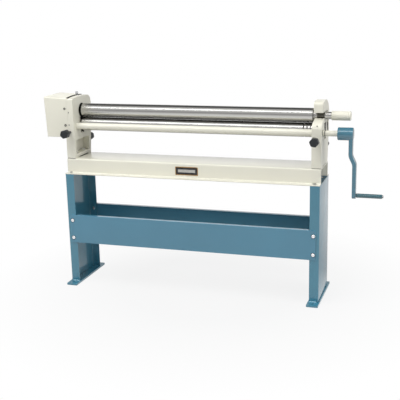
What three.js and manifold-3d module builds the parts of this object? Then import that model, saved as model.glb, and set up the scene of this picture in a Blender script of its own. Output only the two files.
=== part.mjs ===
// Slip roll machine: three steel rolls in two cast housings on a bolted sheet-metal stand.
// Millimetres, +X along the rolls to the crank, +Y to the rear, +Z up, floor at zero.
import * as THREE from "three";
import * as BufferGeometryUtils from "three/addons/utils/BufferGeometryUtils.js";
import Module from "manifold-3d";

const wasm = await Module();
wasm.setup();

// Driving sizes of the rolls
const rollDia = 75;
const rollLength = 1306;
const rollGap = 2;
const rollEndGap = 10;
const rollEdge = 1;
const rollBevel = 3;
const rollBevelLength = 4;
const rollY = 8;
const rollRise = 181.4;
const journalDia = 30;
const rearJournalDia = 24;
const hookJournalDia = 38;
const shoulderDia = 48;
const rearShoulderDia = 38.4;
const shoulderLength = 9;
const journalSetBack = 2;
const wireGrooves = [
  { fromEnd: 11, width: 4, depth: 1.8 },
  { fromEnd: 28, width: 5.5, depth: 2.5 },
  { fromEnd: 47, width: 7, depth: 3.2 },
];
const rearRollBack = 80;
const rearRollRise = 5;
const rearLeanDeg = 15;

// Driving sizes of the stand
const plateThick = 10;
const plateLength = 389;
const plateOuterLip = 6.5;
const plateInnerReach = 56;
const plateCorner = 5;
const anchorHoleDia = 14;
const anchorInset = 27;
const legDepth = 283;
const legFlange = 50;
const legSheet = 4;
const legBend = 7;
const legOverhang = 1;
const legTopZ = 636;
const legTab = 36;
const bedHeight = 82;
const bedSheet = 5;
const bedLip = 36.5;
const bedBend = 7;
const stretcherTopZ = 402;
const stretcherHeight = 160;
const stretcherSheet = 3;
const stretcherHem = 22;
const stretcherEndInset = 17;
const stretcherCut = 8;

// Clearances; every cutting tool overruns the face that it opens by the same run
const fitGap = 0.3;
const turnGap = 0.3;
const holeGap = 0.4;
const endPlay = 1;
const toolRun = 1;

// Fasteners
const standBoltInset = 30;
const coachHeadDia = 20;
const coachHeadHeight = 5;
const coachDomeShares = [[0, 1], [0.45, 0.86], [0.8, 0.5], [1, 0]];
const standShankDia = 10;
const coachNutDia = 17;
const coachNutHeight = 8;
const coachTopInset = 31;
const coachLowInset = 28;
const hexAcross = 17;
const hexHeadHeight = 6.5;
const threadEnd = 3;
const bedBoltInset = 17.5;
const housingBoltFrontY = -46;
const housingBoltBackY = 50;
const housingShankDia = 12;
const housingHeadAcross = 19;
const housingHeadHeight = 8;
const hexSides = 6;

// Housings, heights and depths measured from the rolls where they follow them
const housingWidth = 50;
const housingFrontReach = 110;
const topFrontRise = 74;
const topCrown = 6.5;
const crownEndShare = 0.15;
const crownPullShare = 1.6;
const leftTopMidY = 4;
const leftTopBackY = 94;
const leftBackDrop = 7;
const leftBackTuck = 2;
const leftBackTopY = 132;
const leftBackRise = 23;
const leftBackFootY = 100;
const topFrontRound = 9;
const shoulderFrontDrop = 51;
const shoulderBackDrop = 20;
const shoulderBackY = -44;
const shoulderPull = 4;
const seatCheekDrop = 12;
const seatCheekFrontY = -22;
const cheekBackDrop = 6;
const rightBackFootY = 94;
const rightBackMidY = 122;
const rightBackMidDrop = 38;
const rightBackTopY = 128;
const fingerRise = 18;
const fingerChamfer = 10;
const footReliefHeight = 4;
const footReliefFrontY = -56;
const footReliefBackY = 56;
const pocketFrontY = -84;
const pocketBackY = 76;
const pocketFloor = 37.4;
const pocketHeight = 64;
const pocketDepth = 36;
const pocketRound = 5;
const guideWidth = 44;
const guideDrop = 46;
const guideRise = 42;
const blockDrop = 25;
const blockRise = 34;
const rearSlotWidth = 34;
const rearSlotBelow = 43;
const rearSlotAbove = 46;
const rearSlotMouth = 138;
const rearBlockLength = 40;
const tubeSeatDepth = 8;

// Tie tube, drive shaft and crank
const tubeDia = 36.5;
const tubeWall = 4;
const tubeDrop = 4;
const shaftDia = 22;
const shaftChamfer = 1;
const shaftSetBack = 6;
const bushDia = 35;
const bushStandOut = 13;
const sleeveDia = 29.5;
const sleeveLength = 63;
const hubDia = 66;
const hubLength = 78;
const hubEdge = 2;
const hubEndBevel = 4;
const hubEndWall = 5;
const armThick = 19;
const armSetBack = 2;
const armTopWidth = 48;
const armEndWidth = 34;
const armRootShare = 0.4;
const joggleTopDrop = 106;
const joggleLowDrop = 160;
const joggleShift = 20;
const joggleSoft = 6;
const joggleEdge = 2;
const crankRadius = 317;
const spindleDia = 12;
const spindleSetIn = 2;
const spindleHeadDia = 15;
const spindleHeadLength = 6;
const handleDia = 22;
const handleLength = 131;
const handleEdge = 2;
const handleStandOff = 1.5;

// Gear train
const gearModule = 4;
const rollTeeth = 19;
const pinionTeeth = 14;
const gearWidth = 20;
const pinionWidth = 23;
const gearStandOff = 15;
const gearEndStub = 9;
const addendumShare = 0.75;
const dedendumShare = 1.4;
const toothThickShare = 0.425;
const rootFlareShare = 0.02;
const pressureAngleDeg = 20;
const flankSteps = 2;

// Gear cover and oil cup
const coverReach = 123;
const coverLap = 14.5;
const coverWall = 3;
const coverDrop = 62;
const coverTopRise = 3;
const coverFlare = 10.5;
const coverDraft = 9;
const coverTopGap = 4.5;
const coverGapDrop = 12;
const rebateDepth = 3.4;
const coverScrewInset = 4.5;
const coverScrewDia = 4;
const coverScrewDepth = 25;
const coverScrewRises = [19, -73];
const oilCupDia = 14;
const oilCupHeight = 23;
const oilCupBossDia = 17;
const oilCupBossHeight = 6;
const oilCupNeckDia = 10;
const oilCupNeckTop = 11;
const oilCupLidDia = 7;
const oilCupBevel = 2;
const oilCupSpigotDia = 5.2;
const oilCupSpigotLength = 8;
const oilCupStandOff = 0.9;
const oilHoleDia = 6;

// Trunnion, grip, hook and adjusters
const trunnionDia = 44;
const trunnionLength = 56;
const trunnionWindow = 36;
const liftGripDia = 48;
const liftGripLength = 98;
const liftGripStandOff = 34;
const liftStubDia = 24;
const liftStubLength = 74;
const gripRound = 4;
const gripLineInset = 10;
const gripLineWidth = 4;
const gripLineDepth = 1.2;
const hookPivotY = 116;
const hookPivotDrop = 39;
const hookEarRadius = 16;
const hookEarClear = 1.5;
const tongueClear = 4;
const hookPinDia = 10;
const hookSidePlay = 0.5;
const tongueWidth = 16;
const tongueTipRadius = 12;
const tongueRoot = 30;
const hookSeatClear = 0.5;
const hookLipY = -50;
const hookLipRise = 20;
const hookFrontTopRise = 59;
const hookRoundY = -22;
const hookRoundRise = 77;
const hookTopY = 22;
const hookTopRise = 80;
const hookShoulderY = 88;
const hookShoulderRise = 63;
const hookShoulderPull = 30;
const hookBackY = 132;
const hookBackRise = 39;
const hookBackDrop = 5;
const hookInnerTopY = 74;
const hookInnerBackY = 92;
const hookInnerDrop = 11;
const hookInnerPull = 3;
const knobFrontDrop = 34;
const knobRearDrop = 96;
const knobAcross = 49;
const knobThick = 42;
const knobRound = 4;
const knobNeckDia = 24;
const knobNeckLength = 5;
const knobFrontGap = 34;
const knobRearGap = 6;
const screwDia = 16;
const screwSocket = 20;
const screwDepthFront = 99;
const screwDepthRear = 26;
const screwTaper = 6;

// Facets around full circles and along curves
const roundSides = 24;
const midRoundSides = 16;
const smallRoundSides = 12;
const shankSides = 8;
const curveSteps = 5;
const softCurveSteps = 3;
const hookCurveSteps = 8;
const armCurveSteps = 4;
const armEndSteps = 10;

// Places worked out from the driving sizes
const housingInnerX = rollLength / 2 + rollEndGap;
const housingOuterX = housingInnerX + housingWidth;
const housingMidX = (housingInnerX + housingOuterX) / 2;
const legOuterX = housingOuterX + legOverhang;
const standBoltX = legOuterX - standBoltInset;
const stretcherEndX = legOuterX - stretcherEndInset;
const coachDrops = [coachTopInset, stretcherHeight - coachLowInset];
const bedTopDepth = legDepth - 2 * bedLip;
const bedBoltY = legDepth / 2 - bedBoltInset;
const housingBoltYs = [housingBoltFrontY, housingBoltBackY];
const housingFrontY = rollY - housingFrontReach;
const bedLowZ = legTopZ + fitGap;
const bedTopZ = bedLowZ + bedHeight;
const housingBaseZ = bedTopZ + fitGap;
const lowerRollZ = housingBaseZ + rollRise;
const upperRollZ = lowerRollZ + rollDia + rollGap;
const rearRollY = rollY + rearRollBack;
const rearRollZ = lowerRollZ + rearRollRise;
const tubeZ = lowerRollZ - tubeDrop;
const gearPitchRadius = (gearModule * rollTeeth) / 2;
const pinionPitchRadius = (gearModule * pinionTeeth) / 2;
const driveReach = gearPitchRadius + pinionPitchRadius + fitGap;
const driveY = rollY - Math.sqrt(driveReach * driveReach - tubeDrop * tubeDrop);
const gearCentreX = -housingOuterX - gearStandOff;
const gearEndX = gearCentreX - gearWidth / 2 - gearEndStub;
const coverOuterX = -housingOuterX - coverReach;
const coverSeamX = -housingOuterX + coverLap;
const coverScrewX = -housingOuterX + coverScrewInset;
const coverLowZ = lowerRollZ - coverDrop;
const leftTopFrontZ = upperRollZ + topFrontRise;
const leftBackTopZ = upperRollZ + leftBackRise;
const rightFrontTopZ = upperRollZ - shoulderFrontDrop;
const rightShoulderZ = upperRollZ - shoulderBackDrop;
const seatCheekZ = upperRollZ - seatCheekDrop;
const rightBackMidZ = lowerRollZ - rightBackMidDrop;
const fingerTopZ = lowerRollZ + fingerRise;
const pocketLowZ = housingBaseZ + pocketFloor;
const pocketHighZ = pocketLowZ + pocketHeight;
const guideLowZ = lowerRollZ - guideDrop;
const guideHighZ = lowerRollZ + guideRise;
const blockLowZ = lowerRollZ - blockDrop;
const blockHighZ = lowerRollZ + blockRise;
const liftGripStart = housingOuterX + liftGripStandOff;
const hookPivotZ = upperRollZ - hookPivotDrop;
const knobFrontZ = lowerRollZ - knobFrontDrop;
const knobRearZ = lowerRollZ - knobRearDrop;

// Paint and metal
const creamPaint = { color: 0xe4e2d2, roughness: 0.38, metalness: 0.0 };
const bluePaint = { color: 0x54788f, roughness: 0.3, metalness: 0.1 };
const rollSteel = { color: 0xc4c4c2, roughness: 0.18, metalness: 1.0 };
const gearSteel = { color: 0x8b8d8f, roughness: 0.42, metalness: 0.9 };
const zincSteel = { color: 0xdfe3e6, roughness: 0.3, metalness: 0.9 };
const bronze = { color: 0xa8804c, roughness: 0.4, metalness: 0.8 };
const blackPlastic = { color: 0x23262a, roughness: 0.5, metalness: 0.0 };
const ironGrey = { color: 0x5f6265, roughness: 0.55, metalness: 0.7 };

// Solid operations; points closer than the weld gap are one
const weldGap = 1e-4;
const valuesPerPoint = 3;

function toSolid(geometry) {
  const bare = geometry.clone();
  bare.deleteAttribute("normal");
  bare.deleteAttribute("uv");
  const merged = BufferGeometryUtils.mergeVertices(bare, weldGap);
  const mesh = new wasm.Mesh({
    numProp: valuesPerPoint,
    vertProperties: new Float32Array(merged.attributes.position.array),
    triVerts: new Uint32Array(merged.index.array),
  });
  return new wasm.Manifold(mesh);
}

function toGeometry(solid) {
  const mesh = solid.getMesh();
  const geometry = new THREE.BufferGeometry();
  const points = new Float32Array(mesh.vertProperties);
  geometry.setAttribute("position", new THREE.BufferAttribute(points, valuesPerPoint));
  geometry.setIndex(new THREE.BufferAttribute(new Uint32Array(mesh.triVerts), 1));
  return geometry;
}

function cut(body, ...tools) {
  let solid = toSolid(body);
  for (const tool of tools) {
    solid = solid.subtract(toSolid(tool));
  }
  return toGeometry(solid);
}

function join(...bodies) {
  let solid = toSolid(bodies[0]);
  for (const body of bodies.slice(1)) {
    solid = solid.add(toSolid(body));
  }
  return toGeometry(solid);
}

function overlapOf(first, second) {
  return toGeometry(toSolid(first).intersect(toSolid(second)));
}

// Profiles drawn as (Y, Z) and swept along X
function sweepX(shape, fromX, toX, segments = curveSteps) {
  const geometry = new THREE.ExtrudeGeometry(shape, {
    depth: toX - fromX,
    bevelEnabled: false,
    curveSegments: segments,
  });
  const turn = new THREE.Matrix4().makeBasis(
    new THREE.Vector3(0, 1, 0),
    new THREE.Vector3(0, 0, 1),
    new THREE.Vector3(1, 0, 0),
  );
  return geometry.applyMatrix4(turn).translate(fromX, 0, 0);
}

// Profiles drawn as (X, Z) and swept along Y
function sweepY(shape, fromY, toY, segments = curveSteps) {
  const geometry = new THREE.ExtrudeGeometry(shape, {
    depth: toY - fromY,
    bevelEnabled: false,
    curveSegments: segments,
  });
  const turn = new THREE.Matrix4().makeBasis(
    new THREE.Vector3(1, 0, 0),
    new THREE.Vector3(0, 0, 1),
    new THREE.Vector3(0, -1, 0),
  );
  return geometry.applyMatrix4(turn).translate(0, toY, 0);
}

// Profiles drawn as (X, Y) and swept along Z
function sweepZ(shape, fromZ, toZ, segments = curveSteps) {
  const geometry = new THREE.ExtrudeGeometry(shape, {
    depth: toZ - fromZ,
    bevelEnabled: false,
    curveSegments: segments,
  });
  return geometry.translate(0, 0, fromZ);
}

function polygon(points) {
  return new THREE.Shape(points.map(([a, b]) => new THREE.Vector2(a, b)));
}

function rectangle(lowA, lowB, highA, highB) {
  return polygon([[lowA, lowB], [highA, lowB], [highA, highB], [lowA, highB]]);
}

function roundedRectangle(lowA, lowB, highA, highB, radius) {
  const shape = new THREE.Shape();
  shape.moveTo(lowA + radius, lowB);
  shape.lineTo(highA - radius, lowB);
  shape.absarc(highA - radius, lowB + radius, radius, -Math.PI / 2, 0, false);
  shape.lineTo(highA, highB - radius);
  shape.absarc(highA - radius, highB - radius, radius, 0, Math.PI / 2, false);
  shape.lineTo(lowA + radius, highB);
  shape.absarc(lowA + radius, highB - radius, radius, Math.PI / 2, Math.PI, false);
  shape.lineTo(lowA, lowB + radius);
  shape.absarc(lowA + radius, lowB + radius, radius, Math.PI, (Math.PI * 3) / 2, false);
  return shape;
}

function disc(radius, sides) {
  const points = [];
  for (let i = 0; i < sides; i += 1) {
    const angle = (i / sides) * Math.PI * 2;
    points.push([radius * Math.cos(angle), radius * Math.sin(angle)]);
  }
  return polygon(points);
}

// Round bars along each axis
function barX(diameter, fromX, toX, y, z, sides = roundSides) {
  return sweepX(disc(diameter / 2, sides), fromX, toX).translate(0, y, z);
}

function barY(diameter, fromY, toY, x, z, sides = smallRoundSides) {
  return sweepY(disc(diameter / 2, sides), fromY, toY).translate(x, 0, z);
}

function barZ(diameter, fromZ, toZ, x, y, sides = smallRoundSides) {
  return sweepZ(disc(diameter / 2, sides), fromZ, toZ).translate(x, y, 0);
}

// Turned piece: stations of [x, radius] revolved about the X axis
function turnedX(stations, y, z, sides = roundSides) {
  const points = stations.map(([x, radius]) => new THREE.Vector2(radius, x));
  const geometry = new THREE.LatheGeometry(points, sides);
  geometry.rotateZ(-Math.PI / 2);
  return geometry.translate(0, y, z);
}

// Turned piece: stations of [radius, y] revolved about the Y axis
function turnedY(stations, sides) {
  const points = stations.map(([radius, y]) => new THREE.Vector2(radius, y));
  return new THREE.LatheGeometry(points, sides);
}

// Stand
function legChannel(side) {
  const half = legDepth / 2;
  const inner = legOuterX - legFlange;
  const inside = legOuterX - legSheet;
  const shape = new THREE.Shape();
  shape.moveTo(side * inner, -half);
  shape.lineTo(side * (legOuterX - legBend), -half);
  shape.quadraticCurveTo(side * legOuterX, -half, side * legOuterX, -half + legBend);
  shape.lineTo(side * legOuterX, half - legBend);
  shape.quadraticCurveTo(side * legOuterX, half, side * (legOuterX - legBend), half);
  shape.lineTo(side * inner, half);
  shape.lineTo(side * inner, half - legSheet);
  shape.lineTo(side * inside, half - legSheet);
  shape.lineTo(side * inside, -half + legSheet);
  shape.lineTo(side * inner, -half + legSheet);
  shape.closePath();
  let leg = sweepZ(shape, plateThick + fitGap, legTopZ);
  for (const end of [-1, 1]) {
    const tab = rectangle(
      Math.min(side * inner, side * inside),
      Math.min(end * half, end * (half - legTab)),
      Math.max(side * inner, side * inside),
      Math.max(end * half, end * (half - legTab)),
    );
    leg = join(leg, sweepZ(tab, legTopZ - legSheet, legTopZ));
  }
  const holes = [];
  for (const drop of coachDrops) {
    const z = stretcherTopZ - drop;
    holes.push(barY(standShankDia + 2 * holeGap, -legDepth, legDepth, side * standBoltX, z, shankSides));
  }
  for (const y of [-bedBoltY, bedBoltY]) {
    const low = legTopZ - 2 * legSheet;
    const hole = standShankDia + 2 * holeGap;
    holes.push(barZ(hole, low, legTopZ + legSheet, side * standBoltX, y, shankSides));
  }
  return cut(leg, ...holes);
}

function basePlate(side) {
  const outer = legOuterX + plateOuterLip;
  const inner = legOuterX - plateInnerReach;
  const half = plateLength / 2;
  const low = Math.min(side * outer, side * inner);
  const high = Math.max(side * outer, side * inner);
  const outline = roundedRectangle(low, -half, high, half, plateCorner);
  const plate = sweepZ(outline, 0, plateThick, softCurveSteps);
  const x = side * (legOuterX - legFlange / 2);
  const holes = [-1, 1].map((end) => {
    const y = end * (half - anchorInset);
    return barZ(anchorHoleDia, -toolRun, plateThick + toolRun, x, y);
  });
  return cut(plate, ...holes);
}

function stretcher(end) {
  const faceY = legDepth / 2 + fitGap;
  const outerY = faceY + stretcherSheet;
  const hemX = legOuterX - legFlange - stretcherCut;
  const low = stretcherTopZ - stretcherHeight;
  const face = new THREE.Shape();
  face.moveTo(-stretcherEndX, low);
  face.lineTo(stretcherEndX, low);
  face.lineTo(stretcherEndX, stretcherTopZ - stretcherCut);
  face.lineTo(stretcherEndX - stretcherCut, stretcherTopZ);
  face.lineTo(-stretcherEndX + stretcherCut, stretcherTopZ);
  face.lineTo(-stretcherEndX, stretcherTopZ - stretcherCut);
  face.closePath();
  let board = sweepY(face, Math.min(end * faceY, end * outerY), Math.max(end * faceY, end * outerY));
  for (const z of [low, stretcherTopZ - stretcherSheet]) {
    const [nearY, farY] = [end * (outerY - stretcherHem), end * outerY].sort((a, b) => a - b);
    const hem = rectangle(nearY, z, farY, z + stretcherSheet);
    board = join(board, sweepX(hem, -hemX, hemX));
  }
  const holes = [];
  for (const side of [-1, 1]) {
    for (const drop of coachDrops) {
      const z = stretcherTopZ - drop;
      holes.push(barY(standShankDia + 2 * holeGap, -legDepth, legDepth, side * standBoltX, z, shankSides));
    }
  }
  return cut(board, ...holes);
}

// One domed coach bolt along +Y with its nut, head outside at y = 0
function coachBolt() {
  const grip = stretcherSheet + legSheet + fitGap + 2 * fitGap;
  const end = grip + coachNutHeight;
  const dome = coachDomeShares.map(([out, up]) => [(out * coachHeadDia) / 2, -up * coachHeadHeight]);
  const head = turnedY([...dome, [0, 0]], smallRoundSides);
  const rod = barY(standShankDia, -coachHeadHeight / 2, end, 0, 0, shankSides);
  const nut = sweepY(disc(coachNutDia / 2, hexSides), grip, end);
  return join(head, rod, nut);
}

function bedSection() {
  const flange = legDepth / 2;
  const low = bedLowZ;
  const wall = bedTopDepth / 2;
  const shape = new THREE.Shape();
  shape.moveTo(-flange, low);
  shape.lineTo(-wall + bedSheet, low);
  shape.lineTo(-wall + bedSheet, bedTopZ - bedSheet);
  shape.lineTo(wall - bedSheet, bedTopZ - bedSheet);
  shape.lineTo(wall - bedSheet, low);
  shape.lineTo(flange, low);
  shape.lineTo(flange, low + bedSheet);
  shape.lineTo(wall, low + bedSheet);
  shape.lineTo(wall, bedTopZ - bedBend);
  shape.quadraticCurveTo(wall, bedTopZ, wall - bedBend, bedTopZ);
  shape.lineTo(-wall + bedBend, bedTopZ);
  shape.quadraticCurveTo(-wall, bedTopZ, -wall, bedTopZ - bedBend);
  shape.lineTo(-wall, low + bedSheet);
  shape.lineTo(-flange, low + bedSheet);
  shape.closePath();
  const bed = sweepX(shape, -legOuterX, legOuterX, softCurveSteps);
  const holes = [];
  const smallHole = standShankDia + 2 * holeGap;
  for (const side of [-1, 1]) {
    for (const y of [-bedBoltY, bedBoltY]) {
      holes.push(barZ(smallHole, low - bedSheet, low + 2 * bedSheet, side * standBoltX, y, shankSides));
    }
    for (const y of housingBoltYs) {
      const hole = housingShankDia + 2 * holeGap;
      holes.push(barZ(hole, bedTopZ - 2 * bedSheet, bedTopZ + bedSheet, side * housingMidX, y, shankSides));
    }
  }
  return cut(bed, ...holes);
}

// Hexagon-headed bolt along -Z with its nut, underside of the head at z = 0
function hexBolt(across, headHeight, shank, grip, nutHeight) {
  const radius = across / Math.sqrt(3);
  const head = sweepZ(disc(radius, hexSides), 0, headHeight);
  const rod = barZ(shank, -grip - nutHeight - threadEnd, headHeight / 2, 0, 0, shankSides);
  const nut = sweepZ(disc(radius, hexSides), -grip - nutHeight, -grip);
  return join(head, rod, nut);
}

function bedBolt() {
  const grip = bedSheet + legSheet + fitGap + 2 * fitGap;
  return hexBolt(hexAcross, hexHeadHeight, standShankDia, grip, hexHeadHeight);
}

function housingBolt() {
  const grip = pocketLowZ - bedTopZ + bedSheet + 2 * fitGap;
  return hexBolt(housingHeadAcross, housingHeadHeight, housingShankDia, grip, housingHeadHeight);
}

// Holes of the screws that hold the gear cover to the left housing
function coverScrewHoles() {
  const depth = housingFrontY + coverScrewDepth;
  return coverScrewRises.map((rise) => (
    barY(coverScrewDia, housingFrontY - fitGap, depth, coverScrewX, upperRollZ + rise)
  ));
}

// Left housing outline in (Y, Z); inset shrinks it inwards, foot is its lowest Z,
// rise lifts the top and crown is how far its middle arches over the front corner
function leftOutline(inset, foot, rise = 0, crown = topCrown) {
  const lean = (leftBackTopY - leftBackFootY) / (leftBackTopZ - housingBaseZ);
  const front = housingFrontY + inset;
  const top = leftTopFrontZ + rise - inset;
  const shape = new THREE.Shape();
  shape.moveTo(front, foot);
  shape.lineTo(front, top - topFrontRound);
  shape.quadraticCurveTo(front, top, front + topFrontRound, top + crown * crownEndShare);
  const middle = top + crown * crownPullShare;
  shape.quadraticCurveTo(leftTopMidY, middle, leftTopBackY, top + crown * crownEndShare);
  const backY = leftBackTopY - inset;
  shape.quadraticCurveTo(backY - leftBackTuck, top - leftBackDrop, backY, leftBackTopZ);
  shape.lineTo(leftBackFootY - inset + lean * (foot - housingBaseZ), foot);
  shape.closePath();
  return shape;
}

// Sloping guide of the rear roll: a bar of the given width and span along the lean
function leaningSlot(width, below, above, fromX, toX) {
  const bar = sweepX(rectangle(-width / 2, -below, width / 2, above), fromX, toX);
  bar.rotateX(THREE.MathUtils.degToRad(rearLeanDeg));
  return bar.translate(0, rearRollY, rearRollZ);
}

// Cuts both housings share: guides, pocket, foot relief, tube seat, bores
function sharedHousingCuts(side) {
  const lowX = Math.min(side * housingInnerX, side * housingOuterX);
  const highX = lowX + housingWidth;
  const inner = side * housingInnerX;
  const tools = [];
  const guide = rectangle(rollY - guideWidth / 2, guideLowZ, rollY + guideWidth / 2, guideHighZ);
  tools.push(sweepX(guide, lowX - fitGap, highX + fitGap));
  const pocket = roundedRectangle(pocketFrontY, pocketLowZ, pocketBackY, pocketHighZ, pocketRound);
  const pocketEnd = inner + side * pocketDepth;
  const pocketMouth = inner - side * fitGap;
  const pocketX = [pocketMouth, pocketEnd].sort((a, b) => a - b);
  tools.push(sweepX(pocket, ...pocketX, softCurveSteps));
  const relief = rectangle(
    footReliefFrontY,
    housingBaseZ - footReliefHeight,
    footReliefBackY,
    housingBaseZ + footReliefHeight,
  );
  tools.push(sweepX(relief, lowX - fitGap, highX + fitGap));
  const seatEnd = inner + side * tubeSeatDepth;
  const seatMouth = inner - side * tubeSeatDepth;
  const seatX = [seatEnd, seatMouth].sort((a, b) => a - b);
  tools.push(barX(tubeDia + 2 * fitGap, ...seatX, driveY, tubeZ));
  const bushBore = bushDia + 2 * fitGap;
  tools.push(barX(bushBore - tubeWall, lowX - fitGap, highX + fitGap, driveY, tubeZ));
  const boltHole = housingShankDia + 2 * holeGap;
  for (const y of housingBoltYs) {
    const low = housingBaseZ - fitGap;
    tools.push(barZ(boltHole, low, pocketLowZ + fitGap, side * housingMidX, y, shankSides));
  }
  const screwBore = screwDia + 2 * turnGap;
  tools.push(barY(screwBore, housingFrontY - fitGap, rollY, side * housingMidX, knobFrontZ));
  tools.push(barY(screwBore, pocketBackY - fitGap, leftBackTopY, side * housingMidX, knobRearZ));
  return tools;
}

function housingLeft() {
  const outer = -housingOuterX;
  const inner = -housingInnerX;
  const body = sweepX(leftOutline(0, housingBaseZ), outer, inner);
  const ringLow = coverLowZ - fitGap;
  const rimX = coverSeamX + fitGap;
  const ring = cut(
    sweepX(leftOutline(-rebateDepth, ringLow - rebateDepth, rebateDepth), outer - fitGap, rimX),
    sweepX(leftOutline(rebateDepth, ringLow - 2 * rebateDepth), outer - toolRun, rimX + toolRun),
  );
  const below = rectangle(housingFrontY - legDepth, 0, leftBackTopY + legDepth, ringLow);
  const tools = sharedHousingCuts(-1);
  tools.push(cut(ring, sweepX(below, outer - toolRun, rimX + toolRun)));
  tools.push(leaningSlot(rearSlotWidth, rearSlotBelow, rearSlotAbove, outer - fitGap, inner + fitGap));
  const pocketY = [rollY - trunnionLength / 2 - fitGap, rollY + trunnionLength / 2 + fitGap];
  tools.push(barY(trunnionDia + 2 * turnGap, ...pocketY, -housingMidX, upperRollZ, roundSides));
  tools.push(barX(trunnionWindow, outer - fitGap, inner + fitGap, rollY, upperRollZ));
  tools.push(barZ(oilHoleDia, upperRollZ, leftTopFrontZ + 2 * topCrown, -housingMidX + toolRun, rollY));
  tools.push(...coverScrewHoles());
  return cut(body, ...tools);
}

function housingRight() {
  const shape = new THREE.Shape();
  shape.moveTo(housingFrontY, housingBaseZ);
  shape.lineTo(housingFrontY, rightFrontTopZ - shoulderPull);
  const pullZ = rightShoulderZ - shoulderPull;
  shape.quadraticCurveTo(housingFrontY + shoulderPull, pullZ, shoulderBackY, rightShoulderZ);
  shape.lineTo(seatCheekFrontY, seatCheekZ);
  shape.lineTo(rollY + hookJournalDia, seatCheekZ);
  shape.lineTo(hookInnerBackY, seatCheekZ - cheekBackDrop);
  shape.lineTo(rightBackTopY, fingerTopZ);
  shape.lineTo(rightBackTopY, fingerTopZ - fingerChamfer);
  shape.lineTo(rightBackMidY, rightBackMidZ);
  shape.lineTo(rightBackFootY, housingBaseZ);
  shape.closePath();
  const inner = housingInnerX;
  const outer = housingOuterX;
  const tools = sharedHousingCuts(1);
  const seat = hookJournalDia + 2 * fitGap;
  tools.push(barX(seat, inner - fitGap, outer + fitGap, rollY, upperRollZ));
  const body = sweepX(shape, inner, outer);
  const tongueLow = housingMidX - tongueWidth / 2;
  const tongueHigh = housingMidX + tongueWidth / 2;
  const tongue = new THREE.Shape();
  tongue.moveTo(hookPivotY - hookEarRadius, fingerTopZ - tongueRoot);
  tongue.lineTo(hookPivotY + fingerChamfer, fingerTopZ - tongueRoot);
  tongue.lineTo(hookPivotY + tongueTipRadius, hookPivotZ);
  tongue.absarc(hookPivotY, hookPivotZ, tongueTipRadius, 0, Math.PI / 2, false);
  tongue.lineTo(hookPivotY - hookEarRadius, hookPivotZ);
  tongue.closePath();
  const earRing = 2 * (hookEarRadius + hookEarClear);
  const earRoom = rectangle(
    hookInnerTopY,
    hookPivotZ,
    rightBackTopY + hookEarRadius,
    seatCheekZ + hookEarRadius,
  );
  tools.push(sweepX(earRoom, inner - toolRun, outer + toolRun));
  tools.push(barX(earRing, inner - toolRun, tongueLow, hookPivotY, hookPivotZ));
  tools.push(barX(earRing, tongueHigh, outer + toolRun, hookPivotY, hookPivotZ));
  let housing = cut(body, ...tools);
  housing = join(housing, sweepX(tongue, tongueLow, tongueHigh));
  return cut(
    housing,
    leaningSlot(rearSlotWidth, rearSlotBelow, rearSlotMouth, inner - fitGap, outer + fitGap),
    barX(hookPinDia + 2 * turnGap, inner, outer, hookPivotY, hookPivotZ, smallRoundSides),
  );
}

// Gear cover: a box of sheet open towards the housing, its outer end taller and flat-topped
function gearCover() {
  const draftSpan = leftTopFrontZ - coverLowZ;
  // Sweeps the near outline out to farX, where it turns into the far outline and leans
  const flared = (inset, foot, farX) => {
    const near = sweepX(leftOutline(inset, foot, coverTopRise), farX, coverSeamX);
    const far = sweepX(leftOutline(inset, foot, coverFlare, 0), farX, coverSeamX);
    const spots = near.attributes.position;
    for (let i = 0; i < spots.count; i += 1) {
      if (spots.getX(i) < farX + coverWall / 2) {
        const z = far.attributes.position.getZ(i);
        const draft = (coverDraft * (leftTopFrontZ - z)) / draftSpan;
        spots.setXYZ(i, farX + draft, far.attributes.position.getY(i), z);
      }
    }
    return near;
  };
  const shell = flared(0, coverLowZ, coverOuterX);
  const cavity = flared(coverWall, coverLowZ + coverWall, coverOuterX + coverWall);
  const gapTop = leftTopFrontZ + 2 * topCrown;
  const gapLow = leftTopFrontZ - coverGapDrop;
  const topGap = rectangle(housingFrontY + topFrontRound, gapLow, leftBackTopY, gapTop);
  const mouth = leftOutline(coverWall, coverLowZ + coverWall, coverTopRise);
  const castingRoom = leftOutline(coverWall, coverLowZ - coverWall, coverTopRise);
  const tools = [
    cavity,
    sweepX(mouth, coverSeamX - toolRun, coverSeamX + toolRun),
    sweepX(castingRoom, -housingOuterX - fitGap, coverSeamX + toolRun),
    sweepX(topGap, coverSeamX - coverTopGap, coverSeamX + toolRun),
    ...coverScrewHoles(),
  ];
  return cut(shell, ...tools);
}

function oilCup() {
  const base = leftTopFrontZ + topCrown;
  const cup = turnedY([
    [0, -oilCupSpigotLength],
    [oilCupSpigotDia / 2, -oilCupSpigotLength],
    [oilCupSpigotDia / 2, oilCupStandOff],
    [oilCupBossDia / 2, oilCupStandOff],
    [oilCupBossDia / 2, oilCupBossHeight],
    [oilCupNeckDia / 2, oilCupBossHeight + oilCupBevel],
    [oilCupNeckDia / 2, oilCupNeckTop],
    [oilCupDia / 2, oilCupNeckTop + oilCupBevel],
    [oilCupDia / 2, oilCupHeight - oilCupBevel],
    [oilCupLidDia / 2, oilCupHeight],
    [0, oilCupHeight],
  ], smallRoundSides);
  return cup.rotateX(Math.PI / 2).translate(-housingMidX + toolRun, rollY, base);
}

// Tie tube round the drive shaft, and the shaft's bushes
function tieTube() {
  const end = housingInnerX + tubeSeatDepth - fitGap;
  const tube = barX(tubeDia, -end, end, driveY, tubeZ);
  return cut(tube, barX(tubeDia - 2 * tubeWall, -end - toolRun, end + toolRun, driveY, tubeZ));
}

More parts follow.
